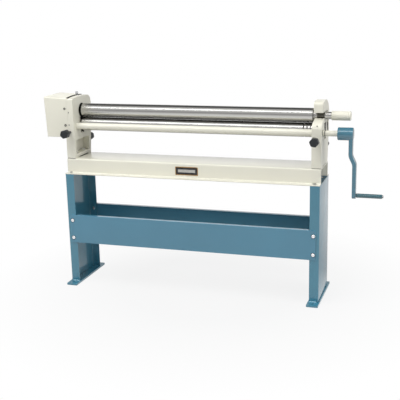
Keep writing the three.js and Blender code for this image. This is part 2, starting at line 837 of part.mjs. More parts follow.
function shaftBush(side) {
  const bore = bushDia - tubeWall;
  const start = side * (housingInnerX + tubeSeatDepth + fitGap);
  const face = side * (housingOuterX + fitGap);
  const end = side > 0 ? housingOuterX + bushStandOut : -housingOuterX - fitGap;
  const span = [start, face].sort((a, b) => a - b);
  const sleeve = barX(bore, ...span, driveY, tubeZ, midRoundSides);
  const far = housingOuterX + bushStandOut + toolRun;
  const hole = barX(shaftDia + 2 * turnGap, -far, far, driveY, tubeZ, midRoundSides);
  if (side < 0) {
    return cut(sleeve, hole);
  }
  return cut(join(sleeve, barX(bushDia, face, end, driveY, tubeZ, midRoundSides)), hole);
}

// Gear with involute flanks in (Y, Z), one tooth centred on +Y before turning
function gear(teeth, width, bore, phase) {
  const pitch = (gearModule * teeth) / 2;
  const pressure = THREE.MathUtils.degToRad(pressureAngleDeg);
  const base = pitch * Math.cos(pressure);
  const tip = pitch + gearModule * addendumShare;
  const root = pitch - gearModule * dedendumShare;
  const involute = (radius) => {
    const roll = Math.acos(Math.min(1, base / radius));
    return Math.tan(roll) - roll;
  };
  const halfAtPitch = (toothThickShare * Math.PI * gearModule) / (2 * pitch);
  const flankStart = Math.max(base, root);
  const half = (radius) => halfAtPitch + involute(pitch) - involute(Math.max(radius, flankStart));
  const radii = [];
  for (let i = 0; i <= flankSteps; i += 1) {
    radii.push(flankStart + ((tip - flankStart) * i) / flankSteps);
  }
  const points = [];
  const pitchAngle = (2 * Math.PI) / teeth;
  for (let tooth = 0; tooth < teeth; tooth += 1) {
    const centre = tooth * pitchAngle + phase;
    const outline = [[root, -half(flankStart) - rootFlareShare]];
    outline.push(...radii.map((radius) => [radius, -half(radius)]));
    outline.push(...radii.slice().reverse().map((radius) => [radius, half(radius)]));
    outline.push([root, half(flankStart) + rootFlareShare]);
    for (const [radius, angle] of outline) {
      points.push([radius * Math.cos(centre + angle), radius * Math.sin(centre + angle)]);
    }
  }
  const from = gearCentreX - width / 2;
  const to = gearCentreX + width / 2;
  const blank = sweepX(polygon(points), from, to);
  return cut(blank, barX(bore, from - toolRun, to + toolRun, 0, 0, midRoundSides));
}

// Rolls
function grooveStations(bodyEnd) {
  const stations = [];
  for (const groove of wireGrooves.slice().reverse()) {
    const middle = bodyEnd - groove.fromEnd;
    const half = groove.width / 2;
    stations.push([middle - half, rollDia / 2]);
    stations.push([middle, rollDia / 2 - groove.depth]);
    stations.push([middle + half, rollDia / 2]);
  }
  return stations;
}

function lowerRoll() {
  const body = rollLength / 2;
  const shoulder = body + shoulderLength;
  const stations = [
    [gearEndX, 0],
    [gearEndX, journalDia / 2],
    [-shoulder, journalDia / 2],
    [-shoulder, shoulderDia / 2],
    [-body, shoulderDia / 2],
    [-body, rollDia / 2],
    ...grooveStations(body),
    [body, rollDia / 2],
    [body, shoulderDia / 2],
    [shoulder, shoulderDia / 2],
    [shoulder, journalDia / 2],
    [housingOuterX - journalSetBack, journalDia / 2],
    [housingOuterX - journalSetBack, 0],
  ];
  return turnedX(stations, 0, 0);
}

function upperRoll() {
  const body = rollLength / 2;
  const shoulder = body + shoulderLength;
  const stations = [
    [gearEndX, 0],
    [gearEndX, journalDia / 2],
    [-body - rollBevelLength, journalDia / 2],
    [-body, rollDia / 2 - rollBevel],
    [-body + rollBevel, rollDia / 2],
    ...grooveStations(body),
    [body - rollEdge, rollDia / 2],
    [body, rollDia / 2 - rollEdge],
    [body, shoulderDia / 2],
    [shoulder, shoulderDia / 2],
    [shoulder, hookJournalDia / 2],
    [liftGripStart - rollEdge, hookJournalDia / 2],
    [liftGripStart, liftStubDia / 2],
    [liftGripStart + liftStubLength, liftStubDia / 2],
    [liftGripStart + liftStubLength, 0],
  ];
  return turnedX(stations, 0, 0);
}

function rearRoll() {
  const body = rollLength / 2;
  const shoulder = body + shoulderLength;
  const end = housingOuterX - journalSetBack;
  return turnedX([
    [-end, 0],
    [-end, rearJournalDia / 2],
    [-shoulder, rearJournalDia / 2],
    [-shoulder, rearShoulderDia / 2],
    [-body, rearShoulderDia / 2],
    [-body, rollDia / 2 - rollEdge],
    [-body + rollEdge, rollDia / 2],
    ...grooveStations(body),
    [body - rollEdge, rollDia / 2],
    [body, rollDia / 2 - rollEdge],
    [body, rearShoulderDia / 2],
    [shoulder, rearShoulderDia / 2],
    [shoulder, rearJournalDia / 2],
    [end, rearJournalDia / 2],
    [end, 0],
  ], 0, 0);
}

// Bearing blocks, a little narrower than the housing that they slide in
function blockSpan(side) {
  return [side * (housingInnerX + endPlay), side * (housingOuterX - endPlay)].sort((a, b) => a - b);
}

function lowerBlock(side) {
  const [from, to] = blockSpan(side);
  const half = guideWidth / 2 - turnGap;
  const block = sweepX(rectangle(rollY - half, blockLowZ, rollY + half, blockHighZ), from, to);
  return cut(block, barX(journalDia + 2 * turnGap, from - toolRun, to + toolRun, rollY, lowerRollZ));
}

function rearBlock(side) {
  const [from, to] = blockSpan(side);
  const width = rearSlotWidth - 2 * turnGap;
  const block = leaningSlot(width, rearBlockLength / 2, rearBlockLength / 2, from, to);
  const bore = rearJournalDia + 2 * turnGap;
  return cut(block, barX(bore, from - toolRun, to + toolRun, rearRollY, rearRollZ));
}

function trunnionBlock() {
  const half = trunnionLength / 2;
  const drum = barY(trunnionDia, rollY - half, rollY + half, -housingMidX, upperRollZ, roundSides);
  const bore = barX(journalDia + 2 * turnGap, -housingOuterX, -housingInnerX, rollY, upperRollZ);
  return cut(drum, bore);
}

// Lifting grip on the upper roll's end
function liftGrip() {
  const start = liftGripStart + fitGap;
  const end = start + liftGripLength;
  const radius = liftGripDia / 2;
  const boreEnd = liftGripStart + liftStubLength + 2 * fitGap;
  const bore = liftStubDia / 2 + fitGap;
  const line = end - gripLineInset - gripLineWidth / 2;
  const stations = [
    [boreEnd, 0],
    [boreEnd, bore],
    [start, bore],
    [start, radius - gripRound / 2],
    [start + gripRound / 2, radius],
    [line - gripLineWidth / 2, radius],
    [line - gripLineWidth / 4, radius - gripLineDepth],
    [line + gripLineWidth / 4, radius - gripLineDepth],
    [line + gripLineWidth / 2, radius],
    [end - gripRound, radius],
    [end - gripRound / 4, radius - gripRound + gripRound / 4],
    [end, radius - 2 * gripRound],
    [end, 0],
  ];
  return turnedX(stations, 0, 0, midRoundSides);
}

// Release hook: a cap over the journal with two ears round the housing's tongue
function hookOutline() {
  const lipZ = upperRollZ + hookLipRise;
  const backZ = upperRollZ + hookBackRise;
  const roundZ = upperRollZ + hookRoundRise;
  const topZ = upperRollZ + hookTopRise;
  const innerLowZ = upperRollZ - hookInnerDrop;
  const pull = hookInnerPull;
  const shape = new THREE.Shape();
  shape.moveTo(hookLipY, lipZ);
  shape.lineTo(hookInnerTopY, lipZ);
  shape.quadraticCurveTo(hookInnerBackY, lipZ - pull, hookInnerBackY + pull, innerLowZ);
  shape.lineTo(hookPivotY - hookEarRadius, hookPivotZ);
  shape.absarc(hookPivotY, hookPivotZ, hookEarRadius, Math.PI, Math.PI * 2, false);
  shape.lineTo(hookBackY, upperRollZ - hookBackDrop);
  shape.quadraticCurveTo(hookBackY, backZ, hookShoulderY, upperRollZ + hookShoulderRise);
  shape.quadraticCurveTo(hookTopY + hookShoulderPull, topZ, hookTopY, topZ);
  shape.lineTo(hookRoundY, roundZ);
  shape.quadraticCurveTo(hookLipY, roundZ - pull, hookLipY, upperRollZ + hookFrontTopRise);
  shape.closePath();
  return shape;
}

function releaseHook() {
  const from = housingInnerX + hookSidePlay;
  const to = housingOuterX - hookSidePlay;
  const blank = sweepX(hookOutline(), from, to, hookCurveSteps);
  const seat = hookJournalDia + 2 * hookSeatClear;
  const gapLow = housingMidX - tongueWidth / 2 - fitGap;
  const gapHigh = housingMidX + tongueWidth / 2 + fitGap;
  const gapDia = 2 * (hookEarRadius + tongueClear);
  const pinBore = hookPinDia + 2 * turnGap;
  return cut(
    blank,
    barX(seat, from - toolRun, to + toolRun, rollY, upperRollZ),
    barX(gapDia, gapLow, gapHigh, hookPivotY, hookPivotZ, midRoundSides),
    barX(pinBore, from - toolRun, to + toolRun, hookPivotY, hookPivotZ, smallRoundSides),
  );
}

function hookPin() {
  const from = housingInnerX + endPlay;
  const to = housingOuterX - endPlay;
  return barX(hookPinDia, from, to, hookPivotY, hookPivotZ, smallRoundSides);
}

// Crank, drive shaft and handle
const crankHubX = housingOuterX + bushStandOut + sleeveLength + 2 * fitGap;
const armTopX = crankHubX + hubLength - armThick - armSetBack;
const armLowX = armTopX + joggleShift;

function driveShaft() {
  const end = crankHubX + hubLength - shaftSetBack;
  return turnedX([
    [gearEndX, 0],
    [gearEndX, shaftDia / 2 - shaftChamfer],
    [gearEndX + shaftChamfer, shaftDia / 2],
    [end, shaftDia / 2],
    [end, 0],
  ], 0, 0, midRoundSides);
}

function crankSleeve() {
  const from = housingOuterX + bushStandOut + fitGap;
  const to = crankHubX - fitGap;
  const bar = barX(sleeveDia, from, to, 0, 0, midRoundSides);
  return cut(bar, barX(shaftDia + 2 * fitGap, from - toolRun, to + toolRun, 0, 0, midRoundSides));
}

// Crank arm seen from the front, joggled outwards half way down
function armFront() {
  const rootZ = (hubDia / 2) * armRootShare;
  const foot = -crankRadius - armEndWidth / 2;
  const topX = armTopX + armThick;
  const lowX = armLowX + armThick;
  const shape = new THREE.Shape();
  shape.moveTo(armTopX, rootZ);
  shape.lineTo(armTopX, -joggleTopDrop + joggleSoft);
  shape.quadraticCurveTo(armTopX, -joggleTopDrop, armTopX + joggleEdge, -joggleTopDrop - joggleSoft);
  shape.lineTo(armLowX - joggleEdge, -joggleLowDrop + joggleSoft);
  shape.quadraticCurveTo(armLowX, -joggleLowDrop, armLowX, -joggleLowDrop - joggleSoft);
  shape.lineTo(armLowX, foot);
  shape.lineTo(lowX, foot);
  shape.lineTo(lowX, -joggleLowDrop + joggleSoft);
  const lowZ = -joggleLowDrop + joggleSoft;
  shape.quadraticCurveTo(lowX, lowZ + joggleSoft, lowX - joggleEdge, lowZ + 2 * joggleSoft);
  shape.lineTo(topX + joggleEdge, -joggleTopDrop + joggleSoft);
  const topZ = -joggleTopDrop + joggleSoft;
  shape.quadraticCurveTo(topX, topZ + joggleSoft, topX, topZ + 2 * joggleSoft);
  shape.lineTo(topX, rootZ);
  shape.closePath();
  return shape;
}

// Crank arm seen from its end, narrowing to the handle
function armSide() {
  const rootZ = (hubDia / 2) * armRootShare;
  const shape = new THREE.Shape();
  shape.moveTo(-armTopWidth / 2, rootZ);
  shape.lineTo(-armEndWidth / 2, -crankRadius);
  shape.absarc(0, -crankRadius, armEndWidth / 2, Math.PI, Math.PI * 2, false);
  shape.lineTo(armTopWidth / 2, rootZ);
  shape.closePath();
  return shape;
}

function crankArm() {
  const hubEnd = crankHubX + hubLength;
  const radius = hubDia / 2;
  const hub = turnedX([
    [crankHubX, 0],
    [crankHubX, radius - hubEdge],
    [crankHubX + hubEdge, radius],
    [hubEnd - hubEndBevel, radius],
    [hubEnd, radius - hubEndBevel],
    [hubEnd, 0],
  ], 0, 0);
  const farX = armLowX + armThick + toolRun;
  const bar = sweepY(armFront(), -radius, radius, armCurveSteps);
  const arm = overlapOf(bar, sweepX(armSide(), crankHubX, farX, armEndSteps));
  const bore = barX(shaftDia + 2 * fitGap, crankHubX - toolRun, hubEnd - hubEndWall, 0, 0, midRoundSides);
  const eye = barX(spindleDia + 2 * fitGap, armLowX - toolRun, farX, 0, -crankRadius, midRoundSides);
  return cut(join(hub, arm), bore, eye);
}

const handleStartX = armLowX + armThick + handleStandOff;
const spindleHeadX = handleStartX + handleLength + turnGap;
const handleEndX = spindleHeadX + spindleHeadLength;

function handleSpindle() {
  const start = armLowX + spindleSetIn;
  const headStart = spindleHeadX;
  const rod = spindleDia / 2;
  return turnedX([
    [start, 0],
    [start, rod],
    [headStart, rod],
    [headStart, spindleHeadDia / 2],
    [handleEndX - handleEdge, spindleHeadDia / 2],
    [handleEndX, spindleHeadDia / 2 - handleEdge],
    [handleEndX, 0],
  ], 0, -crankRadius, midRoundSides);
}

function handleGrip() {
  const start = handleStartX;
  const end = start + handleLength;
  const radius = handleDia / 2;
  const bore = spindleDia / 2 + turnGap;
  return turnedX([
    [start, bore],
    [start, radius - handleEdge],
    [start + handleEdge, radius],
    [end - handleEdge, radius],
    [end, radius - handleEdge],
    [end, bore],
    [start, bore],
  ], 0, 0, midRoundSides);
}

// Adjusters: hexagonal hand knob and its screw, both along Y with the knob's back at y = 0
function adjusterKnob() {
  const radius = knobAcross / 2;
  const hexagon = disc(radius, hexSides);
  const head = sweepY(hexagon, -knobThick, 0);
  const dome = turnedY([
    [0, -knobThick],
    [radius - 2 * knobRound, -knobThick],
    [radius - knobRound / 4, -knobThick + knobRound],
    [radius, -knobRound],
    [radius - knobRound, 0],
    [0, 0],
  ], midRoundSides);
  const neck = barY(knobNeckDia, -knobRound, knobNeckLength, 0, 0);
  const bore = barY(screwDia + 2 * fitGap, -screwSocket, knobThick, 0, 0);
  return cut(join(overlapOf(head, dome), neck), bore);
}

function adjusterScrew(standOff, depth) {
  const start = -screwSocket + fitGap;
  const tip = standOff + depth;
  const radius = screwDia / 2;
  return turnedY([
    [0, start],
    [radius, start],
    [radius, tip - screwTaper],
    [radius / 2, tip],
    [0, tip],
  ], smallRoundSides);
}

// Assembly
const machine = new THREE.Group();
machine.name = "slip_roll_machine";

function place(parent, name, geometry, finish, x = 0, y = 0, z = 0) {
  const mesh = new THREE.Mesh(geometry, new THREE.MeshStandardMaterial(finish));
  mesh.name = name;
  mesh.position.set(x, y, z);
  parent.add(mesh);
  return mesh;
}

// The machine is moved along X so that its overall length is centred on the origin
const coverEndX = coverOuterX - (coverDraft * coverFlare) / (leftTopFrontZ - coverLowZ);
const middleX = (coverEndX + handleEndX) / 2;

function group(name, x = 0, y = 0, z = 0) {
  const holder = new THREE.Group();
  holder.name = name;
  holder.position.set(x - middleX, y, z);
  machine.add(holder);
  return holder;
}

const stand = group("stand");
for (const [label, side] of [["left", -1], ["right", 1]]) {
  place(stand, `base_plate_${label}`, basePlate(side), bluePaint);
  place(stand, `leg_${label}`, legChannel(side), bluePaint);
}
place(stand, "stretcher_front", stretcher(-1), bluePaint);
place(stand, "stretcher_back", stretcher(1), bluePaint);
place(stand, "bed", bedSection(), creamPaint);
for (const [label, side] of [["left", -1], ["right", 1]]) {
  for (const [end, name] of [[-1, "front"], [1, "back"]]) {
    const faceY = end * (legDepth / 2 + stretcherSheet + 2 * fitGap);
    coachDrops.forEach((drop, row) => {
      const bolt = coachBolt();
      const mesh = place(stand, `coach_bolt_${name}_${label}_${row + 1}`, bolt, zincSteel);
      mesh.position.set(side * standBoltX, faceY, stretcherTopZ - drop);
      mesh.rotation.z = end > 0 ? Math.PI : 0;
    });
    const seat = legTopZ + bedSheet + 2 * fitGap;
    const bolt = place(stand, `bed_bolt_${name}_${label}`, bedBolt(), zincSteel);
    bolt.position.set(side * standBoltX, end * bedBoltY, seat);
  }
}

const frame = group("frame");
place(frame, "housing_left", housingLeft(), creamPaint);
place(frame, "housing_right", housingRight(), creamPaint);
for (const [label, side] of [["left", -1], ["right", 1]]) {
  housingBoltYs.forEach((y, row) => {
    const name = `housing_bolt_${label}_${row + 1}`;
    place(frame, name, housingBolt(), zincSteel, side * housingMidX, y, pocketLowZ + fitGap);
  });
}
place(frame, "tie_tube", tieTube(), creamPaint);
place(frame, "shaft_bush_left", shaftBush(-1), bronze);
place(frame, "shaft_bush_right", shaftBush(1), creamPaint);
place(frame, "gear_cover", gearCover(), creamPaint);
place(frame, "oil_cup", oilCup(), creamPaint);
place(frame, "hook_pin", hookPin(), gearSteel);

const drive = group("drive", 0, driveY, tubeZ);
place(drive, "drive_shaft", driveShaft(), gearSteel);
place(drive, "drive_pinion", gear(pinionTeeth, pinionWidth, shaftDia + 2 * fitGap, 0), gearSteel);
place(drive, "crank_sleeve", crankSleeve(), creamPaint);
place(drive, "crank_arm", crankArm(), bluePaint);
place(drive, "handle_spindle", handleSpindle(), gearSteel);
place(drive, "handle_grip", handleGrip(), bluePaint, 0, 0, -crankRadius);

// The pinion's tooth zero points at the lower gear's gap; both rolls' gears mesh on the vertical
const toPinion = Math.atan2(tubeZ - lowerRollZ, driveY - rollY);
const lowerStep = (2 * Math.PI) / rollTeeth;
const lowerPhase = Math.PI / 2 + lowerStep / 2;
const toLower = Math.atan2(lowerRollZ - tubeZ, rollY - driveY);
const pinionStep = (2 * Math.PI) / pinionTeeth;
const gapAtPinion = (toPinion - lowerPhase) / lowerStep;
const missBy = gapAtPinion - Math.floor(gapAtPinion) - 1 / 2;
drive.getObjectByName("drive_pinion").rotation.x = toLower + missBy * pinionStep;

const lower = group("lower", 0, rollY, lowerRollZ);
place(lower, "lower_roll", lowerRoll(), rollSteel);
place(lower, "lower_gear", gear(rollTeeth, gearWidth, journalDia + 2 * fitGap, lowerPhase), gearSteel);
place(frame, "lower_block_left", lowerBlock(-1), ironGrey);
place(frame, "lower_block_right", lowerBlock(1), ironGrey);

const upper = group("upper", 0, rollY, upperRollZ);
place(upper, "upper_roll", upperRoll(), rollSteel);
place(upper, "upper_gear", gear(rollTeeth, gearWidth, journalDia + 2 * fitGap, -Math.PI / 2), gearSteel);
place(upper, "lift_grip", liftGrip(), creamPaint);
place(frame, "trunnion_block", trunnionBlock(), bronze);
place(frame, "release_hook", releaseHook(), creamPaint);

const rear = group("rear", 0, rearRollY, rearRollZ);
place(rear, "rear_roll", rearRoll(), rollSteel);
place(frame, "rear_block_left", rearBlock(-1), ironGrey);
place(frame, "rear_block_right", rearBlock(1), ironGrey);

// Depth of a housing's sloping back at the height of the rear knobs
function backAt(footY, topY, topZ) {
  return footY + ((topY - footY) * (knobRearZ - housingBaseZ)) / (topZ - housingBaseZ);
}

const rearFaceY = {
  left: backAt(leftBackFootY, leftBackTopY, leftBackTopZ),
  right: backAt(rightBackFootY, rightBackMidY, rightBackMidZ),
};
for (const [label, side] of [["left", -1], ["right", 1]]) {
  const frontOff = knobFrontGap + knobNeckLength;
  const frontY = housingFrontY - frontOff;
  const front = group(`adjuster_front_${label}`, side * housingMidX, frontY, knobFrontZ);
  place(front, `knob_front_${label}`, adjusterKnob(), blackPlastic);
  place(front, `screw_front_${label}`, adjusterScrew(frontOff, screwDepthFront), gearSteel);
  const rearOff = knobRearGap + knobNeckLength;
  const back = group(`adjuster_rear_${label}`, side * housingMidX, rearFaceY[label] + rearOff, knobRearZ);
  back.rotation.z = Math.PI;
  place(back, `knob_rear_${label}`, adjusterKnob(), blackPlastic);
  place(back, `screw_rear_${label}`, adjusterScrew(rearOff, screwDepthRear), gearSteel);
}

export default machine;
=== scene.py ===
import math

import bmesh
import bpy
import numpy as np
from mathutils import Matrix, Vector


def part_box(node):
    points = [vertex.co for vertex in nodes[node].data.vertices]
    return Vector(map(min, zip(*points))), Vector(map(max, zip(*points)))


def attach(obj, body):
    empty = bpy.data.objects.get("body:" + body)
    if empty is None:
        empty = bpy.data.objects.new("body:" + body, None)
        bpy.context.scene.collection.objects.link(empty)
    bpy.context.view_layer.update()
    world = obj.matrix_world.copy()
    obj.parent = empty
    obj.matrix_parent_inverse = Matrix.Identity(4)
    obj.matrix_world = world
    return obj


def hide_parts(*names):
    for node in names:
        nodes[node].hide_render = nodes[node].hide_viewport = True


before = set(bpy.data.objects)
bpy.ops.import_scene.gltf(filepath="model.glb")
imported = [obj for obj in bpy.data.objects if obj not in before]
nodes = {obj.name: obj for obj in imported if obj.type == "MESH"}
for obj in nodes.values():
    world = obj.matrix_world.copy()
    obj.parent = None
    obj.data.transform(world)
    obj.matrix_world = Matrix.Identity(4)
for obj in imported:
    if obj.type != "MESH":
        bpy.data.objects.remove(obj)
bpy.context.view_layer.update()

# Base plates. Two strips of 10 mm flame-cut steel under the legs, with an anchor
# hole near each end. They are fillet welded to the legs and sprayed with the
# same blue enamel as the whole stand.
BLUE = (0.050, 0.218, 0.312, 1.0)


def feed(tree, step, values):
    """Sets inputs by name or place. A value that is another node's socket is wired in."""
    for name, value in values.items():
        if isinstance(value, bpy.types.NodeSocket):
            tree.links.new(value, step.inputs[name])
        else:
            step.inputs[name].default_value = value


def shader_step(tree, kind, values=None, **settings):
    """One node of a material, with its settings and its inputs."""
    step = tree.nodes.new(kind)
    for name, setting in settings.items():
        setattr(step, name, setting)
    feed(tree, step, values or {})
    return step


def effect(name, inputs, outputs):
    """An empty node group with named inputs and outputs, and its two ends."""
    group = bpy.data.node_groups.new(name, "ShaderNodeTree")
    for label, kind, value in inputs:
        socket = group.interface.new_socket(label, in_out="INPUT", socket_type=kind)
        socket.default_value = value
    for label, kind in outputs:
        group.interface.new_socket(label, in_out="OUTPUT", socket_type=kind)
    return group, group.nodes.new("NodeGroupInput").outputs, group.nodes.new("NodeGroupOutput")


def spread(tree, value, low, high, to_low, to_high):
    """Maps a value from one span to another, held at both ends."""
    return shader_step(tree, "ShaderNodeMapRange", {
        "Value": value, "From Min": low, "From Max": high, "To Min": to_low, "To Max": to_high,
    }).outputs["Result"]


def calc(tree, operation, first, second):
    """One sum of two values."""
    values = {0: first, 1: second}
    return shader_step(tree, "ShaderNodeMath", values, operation=operation).outputs[0]


def own_place(tree):
    """Each point's place in the piece's own frame."""
    return shader_step(tree, "ShaderNodeTexCoord").outputs["Object"]


def cloud(tree, place, scale, detail):
    """Soft random patches over a place, of values between about 0.3 and 0.7."""
    return shader_step(tree, "ShaderNodeTexNoise",
                       {"Vector": place, "Scale": scale, "Detail": detail}).outputs["Fac"]


def toned(tree, colour, tone):
    """A colour made darker or lighter by a tone."""
    return shader_step(tree, "ShaderNodeVectorMath", {0: colour, "Scale": tone},
                       operation="SCALE").outputs[0]


def raised(tree, height, strength, distance, normal):
    """Normal of a skin that a height lifts over a given normal."""
    return shader_step(tree, "ShaderNodeBump", {
        "Height": height, "Strength": strength, "Distance": distance, "Normal": normal,
    }).outputs["Normal"]


def make_edge_rounding():
    """Normal of an edge rounded to the given radius, and a mask along that edge."""
    group, start, end = effect(
        "edge_rounding",
        [("Radius", "NodeSocketFloat", 0.002)],
        [("Normal", "NodeSocketVector"), ("Edge", "NodeSocketFloat")],
    )
    rounded = shader_step(group, "ShaderNodeBevel", {"Radius": start["Radius"]}, samples=6)
    flat = shader_step(group, "ShaderNodeNewGeometry").outputs["True Normal"]
    both = shader_step(group, "ShaderNodeVectorMath", {0: rounded.outputs["Normal"], 1: flat},
                       operation="DOT_PRODUCT").outputs["Value"]
    feed(group, end, {"Normal": rounded.outputs["Normal"],
                      "Edge": spread(group, both, 0.97, 0.75, 0.0, 1.0)})
    return group


def make_enamel_film():
    """Sprayed enamel: broad drift of tone, fine orange peel, and smears that change the gloss."""
    group, start, end = effect(
        "enamel_film",
        [("Colour", "NodeSocketColor", (0.5, 0.5, 0.5, 1.0)), ("Drift", "NodeSocketFloat", 0.05),
         ("Gloss Loss", "NodeSocketFloat", 0.3), ("Peel Scale", "NodeSocketFloat", 420.0),
         ("Edge", "NodeSocketFloat", 0.0), ("Edge Highlight", "NodeSocketFloat", 0.12)],
        [("Colour", "NodeSocketColor"), ("Roughness", "NodeSocketFloat"),
         ("Height", "NodeSocketFloat")],
    )
    place = own_place(group)
    darkest = calc(group, "SUBTRACT", 1.0, start["Drift"])
    tone = spread(group, cloud(group, place, 2.3, 3.0), 0.3, 0.7, darkest, 1.0)
    # Lighter along rounded edges by the Edge Highlight share: a painted highlight.
    tone = calc(group, "ADD", tone, calc(group, "MULTIPLY", start["Edge"], start["Edge Highlight"]))
    smear = spread(group, cloud(group, place, 17.0, 5.0), 0.35, 0.7, -0.03, 0.07)
    feed(group, end, {
        "Colour": toned(group, start["Colour"], tone),
        "Roughness": calc(group, "ADD", start["Gloss Loss"], smear),
        "Height": cloud(group, place, start["Peel Scale"], 2.0),
    })
    return group


edge_rounding = make_edge_rounding()
enamel_film = make_enamel_film()


def new_material(name):
    """An empty material, its nodes and its shader."""
    material = bpy.data.materials.new(name)
    material.use_nodes = True
    tree = material.node_tree
    return material, tree, tree.nodes["Principled BSDF"]


def use(tree, group, values):
    """Places a shared effect in a material."""
    step = tree.nodes.new("ShaderNodeGroup")
    step.node_tree = group
    feed(tree, step, values)
    return step.outputs


def make_enamel(name, colour, gloss_loss, drift, peel, peel_depth, edge_radius, coat, edge_highlight,
                coat_ior=1.5):
    """Enamel over sheet steel or a turned piece, its film over rounded edges."""
    material, tree, shader = new_material(name)
    edge = use(tree, edge_rounding, {"Radius": edge_radius})
    film = use(tree, enamel_film, {
        "Colour": colour, "Drift": drift, "Gloss Loss": gloss_loss, "Peel Scale": peel,
        "Edge": edge["Edge"], "Edge Highlight": edge_highlight,
    })
    feed(tree, shader, {
        "Base Color": film["Colour"], "Roughness": film["Roughness"],
        "Normal": raised(tree, film["Height"], 0.35, peel_depth, edge["Normal"]),
        "Coat Weight": coat, "Coat Roughness": 0.08, "Coat IOR": coat_ior,
    })
    return material


blue_enamel = make_enamel("blue_enamel", BLUE, gloss_loss=0.34, drift=0.10, peel=380.0,
                          peel_depth=0.00008, edge_radius=0.0022, coat=1.0, edge_highlight=0.35)


def finish_node(node, material):
    """A CAD piece that keeps its shape takes its finish."""
    mesh = nodes[node].data
    mesh.materials.clear()
    mesh.materials.append(material)


for side in ("left", "right"):
    finish_node(f"base_plate_{side}", blue_enamel)

# Legs. Channels bent from 4 mm sheet with a tab folded in at each top corner for
# the bed's bolts, welded to the base plates by a bead along each foot, then
# sprayed blue.
LEG_SHEET = 0.004
LEG_BEND = 0.0075
LEG_TAB = 0.036
SHEET_EDGE = 0.0006
WELD = 0.0055
WELD_SUNK = 0.0003
WELD_CLEAR = 0.0004
# The front beads take this paler blue with a strong edge highlight: a painted highlight, the glint
# on the bead.
weld_highlight_enamel = make_enamel("weld_highlight_enamel", (0.16, 0.36, 0.46, 1.0), gloss_loss=0.2, drift=0.2,
                          peel=380.0, peel_depth=0.00008, edge_radius=0.001, coat=1.0, edge_highlight=1.0)


def rounded_path(corners, radii, steps=6, closed=False):
    """A polyline whose corners are arcs: each arc touches both edges at a distance of
    radius * tan(half the turn) from the corner."""
    corners = np.asarray(corners, float)
    count = len(corners)
    parts = []
    for k in range(count):
        here, radius = corners[k], radii[k]
        if radius <= 0 or (not closed and k in (0, count - 1)):
            parts.append(here[None])
            continue
        back, on = corners[k - 1] - here, corners[(k + 1) % count] - here
        back, on = back / np.linalg.norm(back), on / np.linalg.norm(on)
        half = math.acos(max(-1.0, min(1.0, float(back @ on)))) / 2
        reach = radius / math.tan(half)
        middle = back + on
        centre = here + middle / np.linalg.norm(middle) * radius / math.sin(half)
        first, last = here + back * reach - centre, here + on * reach - centre
        turn = math.atan2(first[0] * last[1] - first[1] * last[0], float(first @ last))
        angles = np.linspace(0.0, turn, steps + 1)[:, None]
        across = np.array([-first[1], first[0]])
        parts.append(centre + first * np.cos(angles) + across * np.sin(angles))
    return np.vstack(parts)


def folded_sheet(corners, thickness, bend):
    """Section of bent sheet: the outer line with its bends, then the inner line, offset by the
    sheet, back again. The sheet lies to the left of the line."""
    corners = np.asarray(corners, float)
    runs = np.diff(corners, axis=0)
    runs = runs / np.linalg.norm(runs, axis=1)[:, None]
    left = np.stack([-runs[:, 1], runs[:, 0]], 1)
    shift = np.vstack([left[:1], np.zeros((len(corners) - 2, 2)), left[-1:]])
    mitre = left[:-1] + left[1:]
    shift[1:-1] = mitre / np.sum(mitre * left[:-1], 1)[:, None]
    turns = runs[:-1, 0] * runs[1:, 1] - runs[:-1, 1] * runs[1:, 0]
    small = max(bend - thickness, thickness / 4)
    outside = rounded_path(corners, [0, *np.where(turns > 0, bend, small), 0])
    inside = rounded_path(corners + shift * thickness, [0, *np.where(turns > 0, small, bend), 0])
    return np.vstack([outside, inside[::-1]])


def lay_out(along, across, up, axis):
    """Points given as (along the axis, across, up) in the machine's own X, Y, Z; the order of
    the three stays right-handed."""
    return np.roll(np.stack([along, across, up], -1), "XYZ".index(axis), -1)


def grid_faces(rows, columns):
    """Quads of a grid whose columns close round."""
    row, column = np.meshgrid(np.arange(rows - 1), np.arange(columns), indexing="ij")
    a, b = row * columns + column, row * columns + (column + 1) % columns
    return np.stack([a, b, b + columns, a + columns], -1).reshape(-1, 4).tolist()


def tube_faces(rows, columns, inside_out=False):
    """Faces of a grid that closes round, with a flat face over each of its ends."""
    first = list(range(columns))
    last = [i + (rows - 1) * columns for i in first]
    faces = grid_faces(rows, columns) + [first[::-1], last]
    return [face[::-1] for face in faces] if inside_out else faces


def swept(outline, axis, start, end):
    """A closed outline, counter-clockwise as seen from the axis's far end, carried from start
    to end, with both ends closed."""
    outline = np.asarray(outline, float)
    count = len(outline)
    across, up = np.tile(outline, (2, 1)).T
    return lay_out(np.repeat([start, end], count), across, up, axis), tube_faces(2, count)


def turned(stations, axis, centre, sides=96):
    """Stations of (place along the axis, radius) turned about the axis through centre
    (across, up)."""
    stations = np.asarray(stations, float)
    angle = np.arange(sides) * 2 * math.pi / sides
    along = np.repeat(stations[:, 0][:, None], sides, 1)
    across = centre[0] + stations[:, 1][:, None] * np.cos(angle)
    up = centre[1] + stations[:, 1][:, None] * np.sin(angle)
    return lay_out(along, across, up, axis).reshape(-1, 3), grid_faces(len(stations), sides)


def several(*shells):
    """Several closed shells as one list of points and faces."""
    points, faces = [], []
    for shell_points, shell_faces in shells:
        base = sum(len(p) for p in points)
        faces += [[i + base for i in face] for face in shell_faces]
        points.append(np.asarray(shell_points, float).reshape(-1, 3))
    return np.vstack(points), faces


